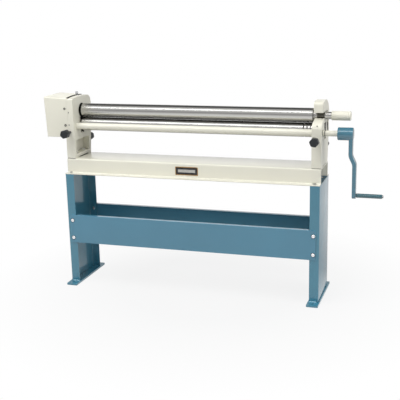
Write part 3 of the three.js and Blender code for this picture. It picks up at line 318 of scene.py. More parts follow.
def finish_mesh(mesh, material, near, smooth, flat=0.0):
    """Welds points nearer than a distance, joins faces that lean less than an angle, and
    shades all smooth but for the true edges."""
    work = bmesh.new()
    work.from_mesh(mesh)
    bmesh.ops.remove_doubles(work, verts=work.verts, dist=near)
    if flat > 0:
        bmesh.ops.dissolve_limit(work, angle_limit=math.radians(flat), verts=work.verts,
                                 edges=work.edges)
    work.to_mesh(mesh)
    work.free()
    mesh.shade_smooth()
    mesh.set_sharp_from_angle(angle=math.radians(smooth))
    mesh.materials.clear()
    mesh.materials.append(material)


def set_in_place(name, mesh, body, edge, stands_for):
    """A mesh as a piece on its body, its true edges eased, for the CAD pieces it stands for."""
    obj = bpy.data.objects.new(name, mesh)
    bpy.context.scene.collection.objects.link(obj)
    if edge > 0:
        bevel = obj.modifiers.new("edges", "BEVEL")
        bevel.width = edge
        bevel.segments = 2
        bevel.limit_method = "ANGLE"
        bevel.angle_limit = math.radians(40)
        bevel.harden_normals = True
    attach(obj, body)
    if stands_for:
        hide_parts(*stands_for)
    return obj


def piece(name, shell, body, material, stands_for=(), edge=0.0, smooth=32.0):
    """A finished piece from a shell of points and faces."""
    points, faces = shell
    mesh = bpy.data.meshes.new(name)
    mesh.from_pydata(np.asarray(points, float).reshape(-1, 3).tolist(), [], faces)
    finish_mesh(mesh, material, 1e-6, smooth)
    return set_in_place(name, mesh, body, edge, stands_for)


def rectangle(low_a, low_b, high_a, high_b):
    """Corners of a rectangle, counter-clockwise."""
    return [(low_a, low_b), (high_a, low_b), (high_a, high_b), (low_a, high_b)]


def weld_bead(path, leg, sides=7):
    """A fillet weld along a path in the floor plane: a quarter-round section whose size and
    height ripple along the run."""
    path = np.asarray(path, float)
    lengths = np.concatenate([[0], np.cumsum(np.linalg.norm(np.diff(path[:, :2], axis=0), axis=1))])
    stops = np.linspace(0, lengths[-1], max(8, int(lengths[-1] / 0.0016)))
    line = np.stack([np.interp(stops, lengths, path[:, k]) for k in range(3)], 1)
    run = np.gradient(line, axis=0)
    run = run / np.linalg.norm(run, axis=1)[:, None]
    outward = np.stack([run[:, 1], -run[:, 0], np.zeros(len(run))], 1)
    fade = np.clip(np.minimum(stops, lengths[-1] - stops) / 0.003, 0.15, 1.0)
    ripple = 0.10 * np.sin(stops * 2 * math.pi / 0.0062) + 0.06 * np.sin(stops * 431.0)
    swell = (leg * fade * (1 + ripple))[:, None, None]
    turn = np.linspace(0, math.pi / 2, sides)
    across = np.concatenate([[0], np.cos(turn)])[None, :, None]
    rise = np.concatenate([[0], np.sin(turn)])[None, :, None]
    points = line[:, None] + swell * (across * outward[:, None] + rise * np.array([0, 0, 1.0]))
    return points.reshape(-1, 3), tube_faces(len(line), sides + 1, inside_out=True)


for side, sign in (("left", -1), ("right", 1)):
    low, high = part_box(f"leg_{side}")
    inner, outer = (low.x, high.x)[::sign]
    corners = [(inner, low.y), (outer, low.y), (outer, high.y), (inner, high.y)][::sign]
    shells = [swept(folded_sheet(corners, LEG_SHEET, LEG_BEND), "Z", low.z, high.z)]
    wall = outer - sign * LEG_SHEET / 2
    for low_y, high_y in ((low.y + LEG_SHEET / 2, low.y + LEG_TAB),
                          (high.y - LEG_TAB, high.y - LEG_SHEET / 2)):
        tab = rectangle(min(inner, wall), low_y, max(inner, wall), high_y)
        shells.append(swept(tab, "Z", high.z - LEG_SHEET, high.z))
    piece(f"leg_channel_{side}", several(*shells), "stand", blue_enamel,
          [f"leg_{side}"], edge=SHEET_EDGE)
    foot = low.z - WELD_SUNK
    near, far = sorted((inner, outer - sign * LEG_BEND))
    front, back, web = low.y - WELD_CLEAR, high.y + WELD_CLEAR, outer + sign * WELD_CLEAR
    ends = (low.y + LEG_BEND, high.y - LEG_BEND)[::sign]
    for place, first, last, enamel in (
        ("front", (near, front), (far, front), weld_highlight_enamel),
        ("back", (far, back), (near, back), blue_enamel),
        ("web", (web, ends[0]), (web, ends[1]), blue_enamel),
    ):
        bead = weld_bead([(*first, foot), (*last, foot)], WELD)
        piece(f"weld_{side}_{place}", bead, "stand", enamel, smooth=60)

# Stretchers. Two boards of 3 mm sheet hemmed inwards along top and bottom, laid
# over the legs' flanges and bolted to them. Blue enamel, a little paler than the
# legs', strongly lightened along the edges as a painted highlight.
BLUE_FACE = (0.062, 0.232, 0.345, 1.0)
stretcher_enamel = make_enamel("stretcher_enamel", BLUE_FACE, gloss_loss=0.36, drift=0.12,
                               peel=340.0, peel_depth=0.00008, edge_radius=0.0028, coat=1.0,
                               edge_highlight=0.9)
for end in ("front", "back"):
    finish_node(f"stretcher_{end}", stretcher_enamel)

# Coach bolts. Bright zinc-plated M10 bolts with domed heads, two at each end of
# each stretcher, with a hexagon nut inside the leg.
M10_RADIUS = 0.005
M10_CORNER = 0.0098
DOME_RADIUS, DOME_RISE = 0.010, 0.005
NUT_HEIGHT, NUT_END, NUT_EASE = 0.008, 0.0085, 0.0008


def make_plated(name, colour, roughness, speckle):
    """Bright plating: small blotches of tone and of gloss over rounded edges."""
    material, tree, shader = new_material(name)
    blotch = cloud(tree, own_place(tree), 240.0, 3.0)
    edge = use(tree, edge_rounding, {"Radius": 0.0008})
    feed(tree, shader, {
        "Base Color": toned(tree, colour, spread(tree, blotch, 0.3, 0.7, 1.0 - speckle, 1.0)),
        "Roughness": spread(tree, blotch, 0.3, 0.7, roughness - 0.06, roughness + 0.08),
        "Normal": raised(tree, blotch, 0.3, 0.00004, edge["Normal"]), "Metallic": 1.0,
    })
    return material


bright_zinc = make_plated("bright_zinc", (0.96, 0.97, 0.98), roughness=0.22, speckle=0.06)
dull_zinc = make_plated("dull_zinc", (0.60, 0.60, 0.57), roughness=0.34, speckle=0.25)


def measure(node, axis):
    """A CAD piece's start and end along an axis, its centre (across, up) and its radius."""
    low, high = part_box(node)
    along, across, up = ("XYZ".index(axis) + k for k in range(3))
    across, up = across % 3, up % 3
    centre = ((low[across] + high[across]) / 2, (low[up] + high[up]) / 2)
    return low[along], high[along], centre, (high[up] - low[up]) / 2


def hexagon_solid(levels, axis, centre):
    """A hexagon head or nut, closed at both ends. Each level is (place along the axis, radius
    over the corners, roundness); its ring is that radius times a mix of the hexagon's
    cos 30 / cos(angle from the middle of its side) and the circle's 1."""
    sides = 72
    angle = np.arange(sides) * 2 * math.pi / sides
    from_side = np.mod(angle + math.pi / 6, math.pi / 3) - math.pi / 6
    hexagon = math.cos(math.pi / 6) / np.cos(from_side)
    along, corner, roundness = np.asarray(levels, float).T[:, :, None]
    ring = corner * ((1 - roundness) * hexagon + roundness)
    points = lay_out(np.repeat(along, sides, 1), centre[0] + ring * np.cos(angle + math.pi / 6),
                     centre[1] + ring * np.sin(angle + math.pi / 6), axis)
    return points.reshape(-1, 3), tube_faces(len(levels), sides)


def domed_bolt(tip, inner, out, centre):
    """A coach bolt's head and shank: a quarter ellipse flattened a little at its rim, then a
    straight bar. It points along Y, outwards where out is 1 or -1."""
    turn = np.linspace(0, math.pi / 2, 10)
    dome = DOME_RISE * (0.16 * (1 - np.cos(turn)) - np.cos(turn))
    length = abs(inner - tip) - DOME_RISE
    stations = np.vstack([
        np.stack([dome, DOME_RADIUS * np.sin(turn)], 1), [(0.0, DOME_RADIUS - 0.0004)],
        [(0.0002, M10_RADIUS), (length, M10_RADIUS), (length, 0.0)]])
    stations[:, 0] = tip - out * (stations[:, 0] + DOME_RISE)
    return turned(stations[::-out], "Y", centre, 40)


for side in ("left", "right"):
    for end, out in (("front", -1), ("back", 1)):
        for row in (1, 2):
            node = f"coach_bolt_{end}_{side}_{row}"
            start, stop, centre, _ = measure(node, "Y")
            inner, tip = (start, stop)[::out]
            near, far = sorted((inner, inner + out * NUT_HEIGHT))
            nut = hexagon_solid([
                (near, NUT_END, 0.12), (near + NUT_EASE, M10_CORNER, 0.0),
                (far - NUT_EASE, M10_CORNER, 0.0), (far, NUT_END, 0.12)], "Y", centre)
            piece(f"coach_bolt_dome_{end}_{side}_{row}",
                  several(domed_bolt(tip, inner, out, centre), nut), "stand",
                  bright_zinc, [node])

# Bed. A hat section bent from 5 mm sheet, its flanges bolted to the tabs of the
# legs and its ends left open. Cream enamel.
CREAM = (0.780, 0.765, 0.660, 1.0)
BED_SHEET = 0.005
BED_BEND = 0.0085
BED_WALL = 0.105
cream_enamel = make_enamel("cream_enamel", CREAM, gloss_loss=0.34, drift=0.035, peel=330.0,
                           peel_depth=0.00007, edge_radius=0.0025, coat=0.9, edge_highlight=0.10)
low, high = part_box("bed")
flange = low.z + BED_SHEET
section = folded_sheet(
    [(high.y, flange), (BED_WALL, flange), (BED_WALL, high.z), (-BED_WALL, high.z),
     (-BED_WALL, flange), (low.y, flange)], BED_SHEET, BED_BEND)
piece("bed_sheet", swept(section, "X", low.x, high.x), "stand", cream_enamel,
      ["bed"], edge=SHEET_EDGE)

# Bolts of the bed. Four zinc-plated M10 bolts with hexagon heads on the bed's
# flanges, and their nuts under the tabs of the legs.
BED_HEAD_HEIGHT = 0.0065
BED_HEAD = ((0.0, 0.0094, 0.1), (0.0007, M10_CORNER, 0.0), (0.0052, M10_CORNER, 0.0),
            (BED_HEAD_HEIGHT, 0.0084, 0.7), (BED_HEAD_HEIGHT - 0.0002, 0.006, 1.0))
BED_NUT = ((0.003, 0.0085, 0.6), (0.0040, M10_CORNER, 0.0), (0.0088, M10_CORNER, 0.0),
           (0.0095, 0.0085, 0.6))
M10_CHAMFER = (0.0006, 0.0008)


def hexagon_bolt(start, seat, centre, radius, chamfer, head, nut):
    """Head, chamfered shank and nut along Z. The head's levels are measured up from its seat,
    the nut's up from the shank's tip."""
    cut, slope = chamfer
    shank = turned([(start, 0.0), (start, radius - cut), (start + slope, radius),
                    (seat + 0.001, radius), (seat + 0.001, 0.0)], "Z", centre, 24)
    head, nut = (
        hexagon_solid([(base + up, corner, soft) for up, corner, soft in levels], "Z", centre)
        for base, levels in ((seat, head), (start, nut)))
    return several(head, shank, nut)


for side in ("left", "right"):
    for end in ("front", "back"):
        node = f"bed_bolt_{end}_{side}"
        start, stop, centre, _ = measure(node, "Z")
        bolt = hexagon_bolt(start, stop - BED_HEAD_HEIGHT, centre, M10_RADIUS, M10_CHAMFER,
                            BED_HEAD, BED_NUT)
        piece(f"bed_bolt_hex_{end}_{side}", bolt, "stand", dull_zinc, [node])

# Housings. Grey iron castings, filled and enamelled cream, machined where the
# blocks slide. Each stands on the bed on two M12 bolts whose heads lie deep in
# its pocket.
tube_start, tube_end, tube_centre, tube_radius = measure("tie_tube", "X")
MIDDLE_X = (tube_start + tube_end) / 2
INNER_WALL = 0.663
POCKET_WALL = 0.699
POCKET_FRONT, POCKET_REAR, REAR_WALL = -0.0855, 0.0775, 0.0705
FLOOR_LOW, FLOOR_HIGH, POCKET_TOP = 0.7545, 0.7625, 0.8215
POCKET_DROP = 0.015
POCKET_BACK = 0.005
M12_RADIUS = 0.006
M12_CORNER = 0.01097
M12_END = M12_CORNER * 0.86
M12_CHAMFER = (0.0008, 0.001)
HOUSING_HEAD_HEIGHT = 0.008
HOUSING_HEAD = ((0.0, M12_CORNER * 0.96, 0.1), (0.0008, M12_CORNER, 0.0),
                (0.0066, M12_CORNER, 0.0), (HOUSING_HEAD_HEIGHT, M12_END, 0.7),
                (HOUSING_HEAD_HEIGHT - 0.0003, M12_RADIUS, 1.0))
HOUSING_NUT = ((0.003, M12_END, 0.6), (0.0044, M12_CORNER, 0.0), (0.0098, M12_CORNER, 0.0),
               (0.011, M12_END, 0.6))


def make_cast_enamel(name, gloss_loss):
    """Enamel over a filled casting: soft waves of the skin and a fine pebble under the film."""
    material, tree, shader = new_material(name)
    edge = use(tree, edge_rounding, {"Radius": 0.0035})
    film = use(tree, enamel_film, {
        "Colour": CREAM, "Drift": 0.045, "Gloss Loss": gloss_loss, "Peel Scale": 300.0,
        "Edge": edge["Edge"], "Edge Highlight": 0.10,
    })
    wave = raised(tree, cloud(tree, own_place(tree), 34.0, 3.0), 0.5, 0.0006, edge["Normal"])
    feed(tree, shader, {
        "Base Color": film["Colour"], "Roughness": film["Roughness"],
        "Normal": raised(tree, film["Height"], 0.6, 0.00012, wave),
        "Coat Weight": 0.3, "Coat Roughness": 0.12,
    })
    return material


cast_enamel = make_cast_enamel("cast_enamel", gloss_loss=0.38)


def dressed(node, name, body, material, reshape=None):
    """The CAD piece's own form, welded and smoothed over its curves."""
    mesh = nodes[node].data.copy()
    mesh.name = name
    if reshape:
        spots = np.zeros(len(mesh.vertices) * 3)
        mesh.vertices.foreach_get("co", spots)
        mesh.vertices.foreach_set("co", reshape(spots.reshape(-1, 3)).ravel())
    finish_mesh(mesh, material, 2e-6, smooth=28.0, flat=0.5)
    set_in_place(name, mesh, body, 0.0, [node])


def deeper_pocket(inner_x, deep_x):
    """The pocket's floor and back wall moved: every point of them shifts down, or back, by one
    amount."""
    low_x, high_x = sorted((inner_x, deep_x))

    def moved(spots):
        x, y, z = spots.T
        inside = (x > low_x - 0.0005) & (x < high_x + 0.0005)
        inside &= (y > POCKET_FRONT) & (y < POCKET_REAR)
        floor = inside & (z > FLOOR_LOW) & (z < FLOOR_HIGH)
        back = inside & (y > REAR_WALL) & (z > FLOOR_LOW) & (z < POCKET_TOP)
        spots[floor, 2] -= POCKET_DROP
        spots[back, 1] += POCKET_BACK
        return spots

    return moved


for side, sign in (("left", -1), ("right", 1)):
    pocket = deeper_pocket(MIDDLE_X + sign * INNER_WALL, MIDDLE_X + sign * POCKET_WALL)
    dressed(f"housing_{side}", f"housing_casting_{side}", "stand", cast_enamel,
            reshape=pocket)
for side in ("left", "right"):
    for row in (1, 2):
        node = f"housing_bolt_{side}_{row}"
        start, stop, centre, _ = measure(node, "Z")
        seat = stop - HOUSING_HEAD_HEIGHT - POCKET_DROP
        bolt = hexagon_bolt(start, seat, centre, M12_RADIUS, M12_CHAMFER, HOUSING_HEAD,
                            HOUSING_NUT)
        piece(f"housing_bolt_hex_{side}_{row}", bolt, "stand", bright_zinc, [node])

# Painted shade. Near-black rings and strips put where shade falls: round the coach
# bolts' heads, in the slot by the cover's lip, under the castings' feet, in the upper
# roll's mouth and on the wedge's end face. Enamelled plugs close the rear screws' bores
# behind the pockets.
RIM_INNER, RIM_OUTER, RIM_THICK = 0.0098, 0.0116, 0.0004
LIP_Y = (-0.0925, -0.0557, -0.0178, 0.0209, 0.0565, 0.0925)
LIP_Z = (1.0556, 1.0585, 1.0600, 1.0600, 1.0585, 1.0556)
LIP_DEPTH = 0.0075
LIP_START, LIP_END = -0.8010, -0.7916
SCREW_RADIUS = 0.008
PLUG_RADIUS, PLUG_START, PLUG_END = 0.0108, 0.0790, 0.0800
SEAM_START, SEAM_END = 0.664, 0.712
RELIEF_START, RELIEF_END = 0.6626, 0.6632
RELIEF_FRONT, RELIEF_BACK = -0.040, 0.060
MOUTH_BORE, MOUTH_RADIUS = 0.0162, 0.0392
MOUTH_START, MOUTH_END = -0.6631, -0.6625
WEDGE_START, WEDGE_END = -0.6640, -0.6628
WEDGE_FACE = ((-0.0190, 0.8735), (0.0195, 0.8475), (0.0250, 0.8530), (-0.0125, 0.8800))


def make_shadow_gap():
    """Painted shade for deep gaps: near black, a little uneven."""
    material, tree, shader = new_material("painted_shade")
    dirt = cloud(tree, own_place(tree), 90.0, 4.0)
    feed(tree, shader, {
        "Base Color": toned(tree, (0.012, 0.012, 0.010), spread(tree, dirt, 0.3, 0.7, 0.6, 1.3)),
        "Roughness": spread(tree, dirt, 0.3, 0.7, 0.55, 0.8), "Specular IOR Level": 0.2,
    })
    return material


def collar(start, end, bore, radius, axis, centre, sides):
    """A plain ring: a rectangle from start to end and from bore to radius, turned."""
    return turned([(start, bore), (start, radius), (end, radius), (end, bore), (start, bore)],
                  axis, centre, sides)


painted_shade = make_shadow_gap()
# Rings round the coach bolts' domes: painted shadow under their rims.
rims = []
for side in ("left", "right"):
    for end, out in (("front", -1), ("back", 1)):
        for row in (1, 2):
            start, stop, centre, _ = measure(f"coach_bolt_{end}_{side}_{row}", "Y")
            face = start + DOME_RISE if out < 0 else stop - DOME_RISE
            near, far = sorted((face, face + out * RIM_THICK))
            rims.append(collar(near, far, RIM_INNER, RIM_OUTER, "Y", centre, 40))
piece("coach_bolt_shade_rims", several(*rims), "stand", painted_shade)
# A strip in the slot by the cover's lip: painted shade under the lip.
crest = np.stack([LIP_Y, LIP_Z], 1)
lip = np.concatenate([crest - (0.0, LIP_DEPTH), crest[::-1]])
piece("cover_lip_shade", swept(lip, "X", LIP_START, LIP_END), "stand", painted_shade)
for side in ("left", "right"):
    low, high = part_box(f"screw_rear_{side}")
    plug = turned([(PLUG_START, 0.0), (PLUG_START, PLUG_RADIUS), (PLUG_END, PLUG_RADIUS),
                   (PLUG_END, 0.0)], "Y", (low.z + SCREW_RADIUS, (low.x + high.x) / 2), 32)
    piece(f"screw_bore_end_{side}", plug, "stand", cast_enamel)
# A strip under each casting's front foot and one in its foot relief: painted shade under the feet.
for side, sign in (("left", -1), ("right", 1)):
    low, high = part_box(f"housing_{side}")
    front, sole = low.y, low.z
    seam = swept(rectangle(front - 0.0001, sole - 0.0002, front + 0.004, sole + 0.0016), "X",
                 *sorted((MIDDLE_X + sign * SEAM_START, MIDDLE_X + sign * SEAM_END)))
    relief = swept(rectangle(RELIEF_FRONT, sole + 0.0002, RELIEF_BACK, sole + 0.0042), "X",
                   *sorted((MIDDLE_X + sign * RELIEF_START, MIDDLE_X + sign * RELIEF_END)))
    piece(f"foot_shade_{side}", several(seam, relief), "stand", painted_shade)
# A ring on the left casting's inner wall round the upper roll's end: painted shade in its mouth.
_, _, roll_centre, _ = measure("upper_roll", "X")
mouth = collar(MIDDLE_X + MOUTH_START, MIDDLE_X + MOUTH_END, MOUTH_BORE, MOUTH_RADIUS, "X",
               roll_centre, 96)
piece("roll_mouth_shade_left", mouth, "stand", painted_shade)
# The wedge's end face in its slot, near black as painted shade.
wedge = swept(WEDGE_FACE, "X", MIDDLE_X + WEDGE_START, MIDDLE_X + WEDGE_END)
piece("wedge_end_shade_left", wedge, "stand", painted_shade)

# Tie tube. Welded steel tube between the housings that hides the drive shaft,
# spigoted into both castings and enamelled cream; the shaft's right bush stands
# proud of the casting.
TUBE_WALL = 0.004
BUSH_RADIUS, BUSH_BODY, BUSH_BORE = 0.0175, 0.0145, 0.0112
BUSH_STEP, BUSH_FACE = 0.0105, 0.0030
BUSH_EASE = 0.0008
SHADE_RING_LONG, SHADE_RING_INNER, SHADE_RING_OUTER = 0.0034, 0.0147, 0.0159
tube_enamel = make_enamel("tube_enamel", CREAM, gloss_loss=0.30, drift=0.03, peel=360.0,
                          peel_depth=0.00005, edge_radius=0.0015, coat=0.5, edge_highlight=0.05)
tube = collar(tube_start, tube_end, tube_radius - TUBE_WALL, tube_radius, "X", tube_centre, 96)
piece("tie_tube_round", tube, "stand", tube_enamel, ["tie_tube"])

start, stop, centre, _ = measure("shaft_bush_right", "X")
step = stop - BUSH_STEP
face = stop - BUSH_FACE
piece("shaft_bush_turned", turned([
    (start, BUSH_BORE), (start, BUSH_BODY), (step, BUSH_BODY), (step, BUSH_RADIUS),
    (face - BUSH_EASE, BUSH_RADIUS), (face, BUSH_RADIUS - BUSH_EASE), (face, BUSH_BODY),
    (stop, BUSH_BODY), (stop, BUSH_BORE), (start, BUSH_BORE),
], "X", centre, 72), "stand", tube_enamel, ["shaft_bush_right"])
# Near-black rings at the bush's step and outer face: painted shade in the joints.
for name, first, last in (("inner", step - SHADE_RING_LONG, step), ("outer", face, stop - 0.0001)):
    ring = collar(first, last, SHADE_RING_INNER, SHADE_RING_OUTER, "X", centre, 72)
    piece(f"bush_shade_ring_{name}", ring, "stand", painted_shade)

# Gear train. Steel spur gears on the two rolls and a pinion on the drive shaft,
# oiled, all behind the cover; the upper roll's left end turns in a bronze drum.
# The rolls' bearing blocks are dark iron.
def make_machined(name, colour, roughness, line_scale, oil, metal=1.0, reflection=0.5):
    """Machined metal: fine lines across X, an uneven film of oil and dulled patches."""
    material, tree, shader = new_material(name)
    place = own_place(tree)
    stretched = shader_step(tree, "ShaderNodeMapping",
                            {"Vector": place, "Scale": (line_scale, 30.0, 30.0)}).outputs[0]
    lines = cloud(tree, stretched, 1.0, 3.0)
    film = cloud(tree, place, 38.0, 4.0)
    edge = use(tree, edge_rounding, {"Radius": 0.0007})
    feed(tree, shader, {
        "Base Color": toned(tree, colour, spread(tree, film, 0.35, 0.65, 1.0 - oil, 1.0)),
        "Roughness": spread(tree, film, 0.3, 0.7, roughness - 0.08, roughness + 0.1),
        "Normal": raised(tree, lines, 0.35, 0.00004, edge["Normal"]),
        "Metallic": metal, "Specular IOR Level": reflection,
    })
    return material


oiled_steel = make_machined("oiled_steel", (0.36, 0.365, 0.37), 0.36, 900.0, oil=0.25)
bearing_bronze = make_machined("bearing_bronze", (0.55, 0.36, 0.17), 0.38, 700.0, oil=0.2)
iron_block = make_machined("iron_block", (0.035, 0.036, 0.036), 0.5, 500.0, oil=0.35)
for node in ("lower_gear", "upper_gear", "drive_pinion", "drive_shaft", "handle_spindle",
             "hook_pin"):
    finish_node(node, oiled_steel)
for node in ("trunnion_block", "shaft_bush_left"):
    finish_node(node, bearing_bronze)
for node in ("lower_block_left", "lower_block_right", "rear_block_left", "rear_block_right"):
    finish_node(node, iron_block)

# Gear cover. A pressed and welded sheet box over the gears, its rim let into the
# left casting. Cream enamel. It is held from the front by two large and two small
# socket screws of blackened steel.
COVER_SCREWS = {
    "top": (-0.8079, 0.9961, 0.0062, 0.0022),
    "low": (-0.8070, 0.9045, 0.0062, 0.0022),
    "inner_top": (-0.7848, 0.9761, 0.0036, 0.0006),
    "inner_low": (-0.7850, 0.9065, 0.0034, 0.0006),
}
SCREW_DEPTH = 0.004
cover_enamel = make_enamel("cover_enamel", CREAM, gloss_loss=0.36, drift=0.03, peel=330.0,
                           peel_depth=0.00006, edge_radius=0.004, coat=0.12, edge_highlight=0.08)
black_oxide = make_machined("black_oxide", (0.012, 0.012, 0.013), 0.6, 600.0, oil=0.3,
                            metal=0.0, reflection=0.3)
dressed("gear_cover", "gear_cover_sheet", "stand", cover_enamel)


def socket_screw(centre_x, centre_z, face_y, radius, proud):
    """A cap screw seen end on: turned head with a bevelled rim and a round socket sunk in it."""
    rim = radius * 0.16
    socket = radius * 0.55
    head = face_y - proud
    return turned([
        (head + radius * 0.8, 0.0), (head + radius * 0.7, socket * 0.92), (head, socket),
        (head, radius - rim), (head + rim, radius), (face_y + 0.0002, radius),
        (face_y + 0.0002, socket), (face_y + SCREW_DEPTH, socket), (face_y + SCREW_DEPTH, 0.0),
    ], "Y", (centre_z, centre_x), 36)


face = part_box("gear_cover")[0].y
for name, (x, z, radius, proud) in COVER_SCREWS.items():
    piece(f"cover_screw_{name}", socket_screw(x, z, face, radius, proud), "stand",
          black_oxide)

# Oil cup. A turned and plated cup with a ball lid, pressed into the casting's top
# over the upper bearing, with a near-black ring over its narrow neck under the lid.
CUP_NECK, CUP_LID, CUP_STEM = 0.0062, 0.0083, 0.0026
start, top, centre, _ = measure("oil_cup", "Z")
cup = [(start, 0.0), (start, CUP_STEM), (top - 0.0225, CUP_STEM), (top - 0.0225, 0.0085),
       (top - 0.0185, 0.0085), (top - 0.0175, CUP_NECK), (top - 0.0120, CUP_NECK),
       (top - 0.0110, 0.0076), (top - 0.0100, CUP_LID), (top - 0.0030, CUP_LID),
       (top - 0.0012, 0.0076), (top - 0.0004, 0.0058), (top, 0.0030), (top, 0.0)]
piece("oil_cup_turned", turned(cup, "Z", centre, 48), "stand", bright_zinc,
      ["oil_cup"])
neck = collar(top - 0.0176, top - 0.0119, CUP_NECK - 0.0002, CUP_NECK + 0.0004, "Z", centre, 48)
piece("oil_cup_neck", neck, "stand", black_oxide)

# Rolls. Ground and polished bar, journals turned down at both ends. The lower and
# the rear roll show three wire grooves near their right end, darkened on the lower
# one as painted shade; the upper one is plain there and has a stub for the lifting grip.
ROLL_RADIUS = 0.0375
HALF_BODY = 0.653
SHOULDER = 0.001
COLLAR_END = 0.662
ROLL_EASE = 0.0008
GROOVES = ((0.047, 0.007, 0.0032), (0.028, 0.0055, 0.0025), (0.011, 0.004, 0.0018))
BORE_START, BORE_END = 0.6625, 0.7130
COLLAR_FOOT = 0.6730
STUB_LENGTH = 0.074
SHADE_START, SHADE_END = -0.6590, -0.6497
END_FACE = 0.0003
STEEL, OIL_AND_SHADE, SHADE_BLACK = range(3)


def make_polished(name, colour, roughness):
    """Ground and polished bar: rings left by the wheel along X, faint stains, near-mirror, and
    darker where another glossy surface mirrors it, as painted shade in the nip between rolls."""
    material, tree, shader = new_material(name)
    place = own_place(tree)
    along = shader_step(tree, "ShaderNodeSeparateXYZ", {"Vector": place}).outputs["X"]
    rings = shader_step(tree, "ShaderNodeTexNoise", noise_dimensions="1D")
    feed(tree, rings, {"W": along, "Scale": 900.0, "Detail": 4.0})
    rings = rings.outputs["Fac"]
    stain = cloud(tree, place, 9.0, 5.0)
    glossy_ray_shade = shader_step(tree, "ShaderNodeLightPath").outputs["Is Glossy Ray"]
    # Darker in mirrored rays: painted shade for the nip between the rolls.
    tone = calc(tree, "MULTIPLY", spread(tree, stain, 0.35, 0.65, 0.97, 1.0),
                spread(tree, glossy_ray_shade, 0.0, 1.0, 1.0, 0.45))
    gloss = spread(tree, stain, 0.3, 0.7, roughness - 0.01, roughness + 0.02)
    bump = shader_step(tree, "ShaderNodeBump",
                       {"Strength": 0.08, "Distance": 0.00001, "Height": rings})
    around = shader_step(tree, "ShaderNodeTangent", direction_type="RADIAL", axis="X")
    feed(tree, shader, {
        "Base Color": toned(tree, colour, tone),
        "Roughness": calc(tree, "ADD", gloss, spread(tree, rings, 0.3, 0.7, -0.01, 0.01)),
        "Normal": bump.outputs["Normal"], "Metallic": 1.0, "Tangent": around.outputs[0],
        "Anisotropic": 1.0, "Anisotropic Rotation": 0.25,
    })
    return material


polished_steel = make_polished("polished_steel", (0.605, 0.60, 0.58), roughness=0.20)
journal_oil_and_shade = make_machined("journal_oil_and_shade", (0.17, 0.165, 0.148), 0.34, 900.0, oil=0.35)


def grooves():
    """Stations of the round wire grooves: a half circle arc sunk by its depth over its width."""
    stations = []
    for from_end, width, depth in GROOVES:
        turn = np.linspace(-1, 1, 13)
        x = HALF_BODY - from_end + turn * width / 2
        stations += list(zip(x, ROLL_RADIUS - depth * np.sqrt(np.clip(1 - turn ** 2, 0, 1))))
    return stations


def roll_end(tip, journal, wide):
    """Stations from the tip to the body, as distances from the middle: journal, collar and
    shoulder, each edge cut by one small amount."""
    return [(tip, 0.0), (tip, journal - ROLL_EASE), (tip - ROLL_EASE, journal),
            (COLLAR_END, journal), (COLLAR_END, wide - ROLL_EASE), (COLLAR_END - ROLL_EASE, wide),
            (HALF_BODY, wide), (HALF_BODY, ROLL_RADIUS - SHOULDER),
            (HALF_BODY - SHOULDER, ROLL_RADIUS)]


def roll(name, node, left, right, body, darkened_start=BORE_START, grooved=True):
    """A roll turned in one piece: left end, body with its grooves, right end. All that runs in
    the left bore and, on the right, between two distances is darker, for oil and painted shade."""
    _, _, centre, _ = measure(node, "X")
    stations = np.vstack([left, *([grooves()] if grooved else []), right])
    stations[:, 0] += MIDDLE_X
    obj = piece(name, turned(stations, "X", centre, 128), body, polished_steel,
                [node], smooth=24)
    obj.data.materials.append(journal_oil_and_shade)
    obj.data.materials.append(painted_shade)
    middles = np.zeros(len(obj.data.polygons) * 3, np.float32)
    obj.data.polygons.foreach_get("center", middles)
    along = middles.reshape(-1, 3)[:, 0] - MIDDLE_X
    oil_and_shade = (along < -HALF_BODY - 0.0004) | ((along > darkened_start) & (along < BORE_END))
    if node == "lower_roll":
        for from_end, width, _ in GROOVES:
            oil_and_shade |= np.abs(along - HALF_BODY + from_end) < width / 2
    finish = np.where(oil_and_shade, OIL_AND_SHADE, STEEL).astype(np.int32)
    # The right end face, and on the upper roll a band by its left end, near black: painted shade.
    finish[np.abs(along - HALF_BODY) < END_FACE] = SHADE_BLACK
    if node == "upper_roll":
        finish[(along > SHADE_START) & (along < SHADE_END)] = SHADE_BLACK
    obj.data.polygons.foreach_set("material_index", finish)


for node, journal, wide in (("lower_roll", 0.015, 0.024), ("rear_roll", 0.012, 0.0192)):
    start, stop, _, _ = measure(node, "X")
    left = [(-x, radius) for x, radius in roll_end(MIDDLE_X - start, journal, wide)]
    right = roll_end(stop - MIDDLE_X, journal, wide)[::-1]
    roll(f"{node}_turned", node, left, right, node)

start, stop, _, _ = measure("upper_roll", "X")
start, stop = start - MIDDLE_X, stop - MIDDLE_X
stub = stop - STUB_LENGTH
left = [(start, 0.0), (start, 0.0142), (start + ROLL_EASE, 0.015), (-0.657, 0.015),
        (-0.6535, 0.0335), (-0.6525, 0.0348), (-0.6505, 0.0372), (-0.6495, ROLL_RADIUS)]
right = [(HALF_BODY - SHOULDER, ROLL_RADIUS), (HALF_BODY, ROLL_RADIUS - SHOULDER),
         (HALF_BODY, 0.0225), (0.6585, 0.0225), (0.6610, 0.0195), (COLLAR_FOOT, 0.0190),
         (COLLAR_FOOT + 0.0001, 0.0165), (BORE_END - 0.0005, 0.0165), (BORE_END, 0.019),
         (stub - 0.001, 0.019), (stub, 0.018), (stub, 0.012), (stop - 0.001, 0.012),
         (stop, 0.011), (stop, 0.0)]
roll("upper_roll_turned", "upper_roll", left, right, "upper_roll", COLLAR_FOOT, grooved=False)

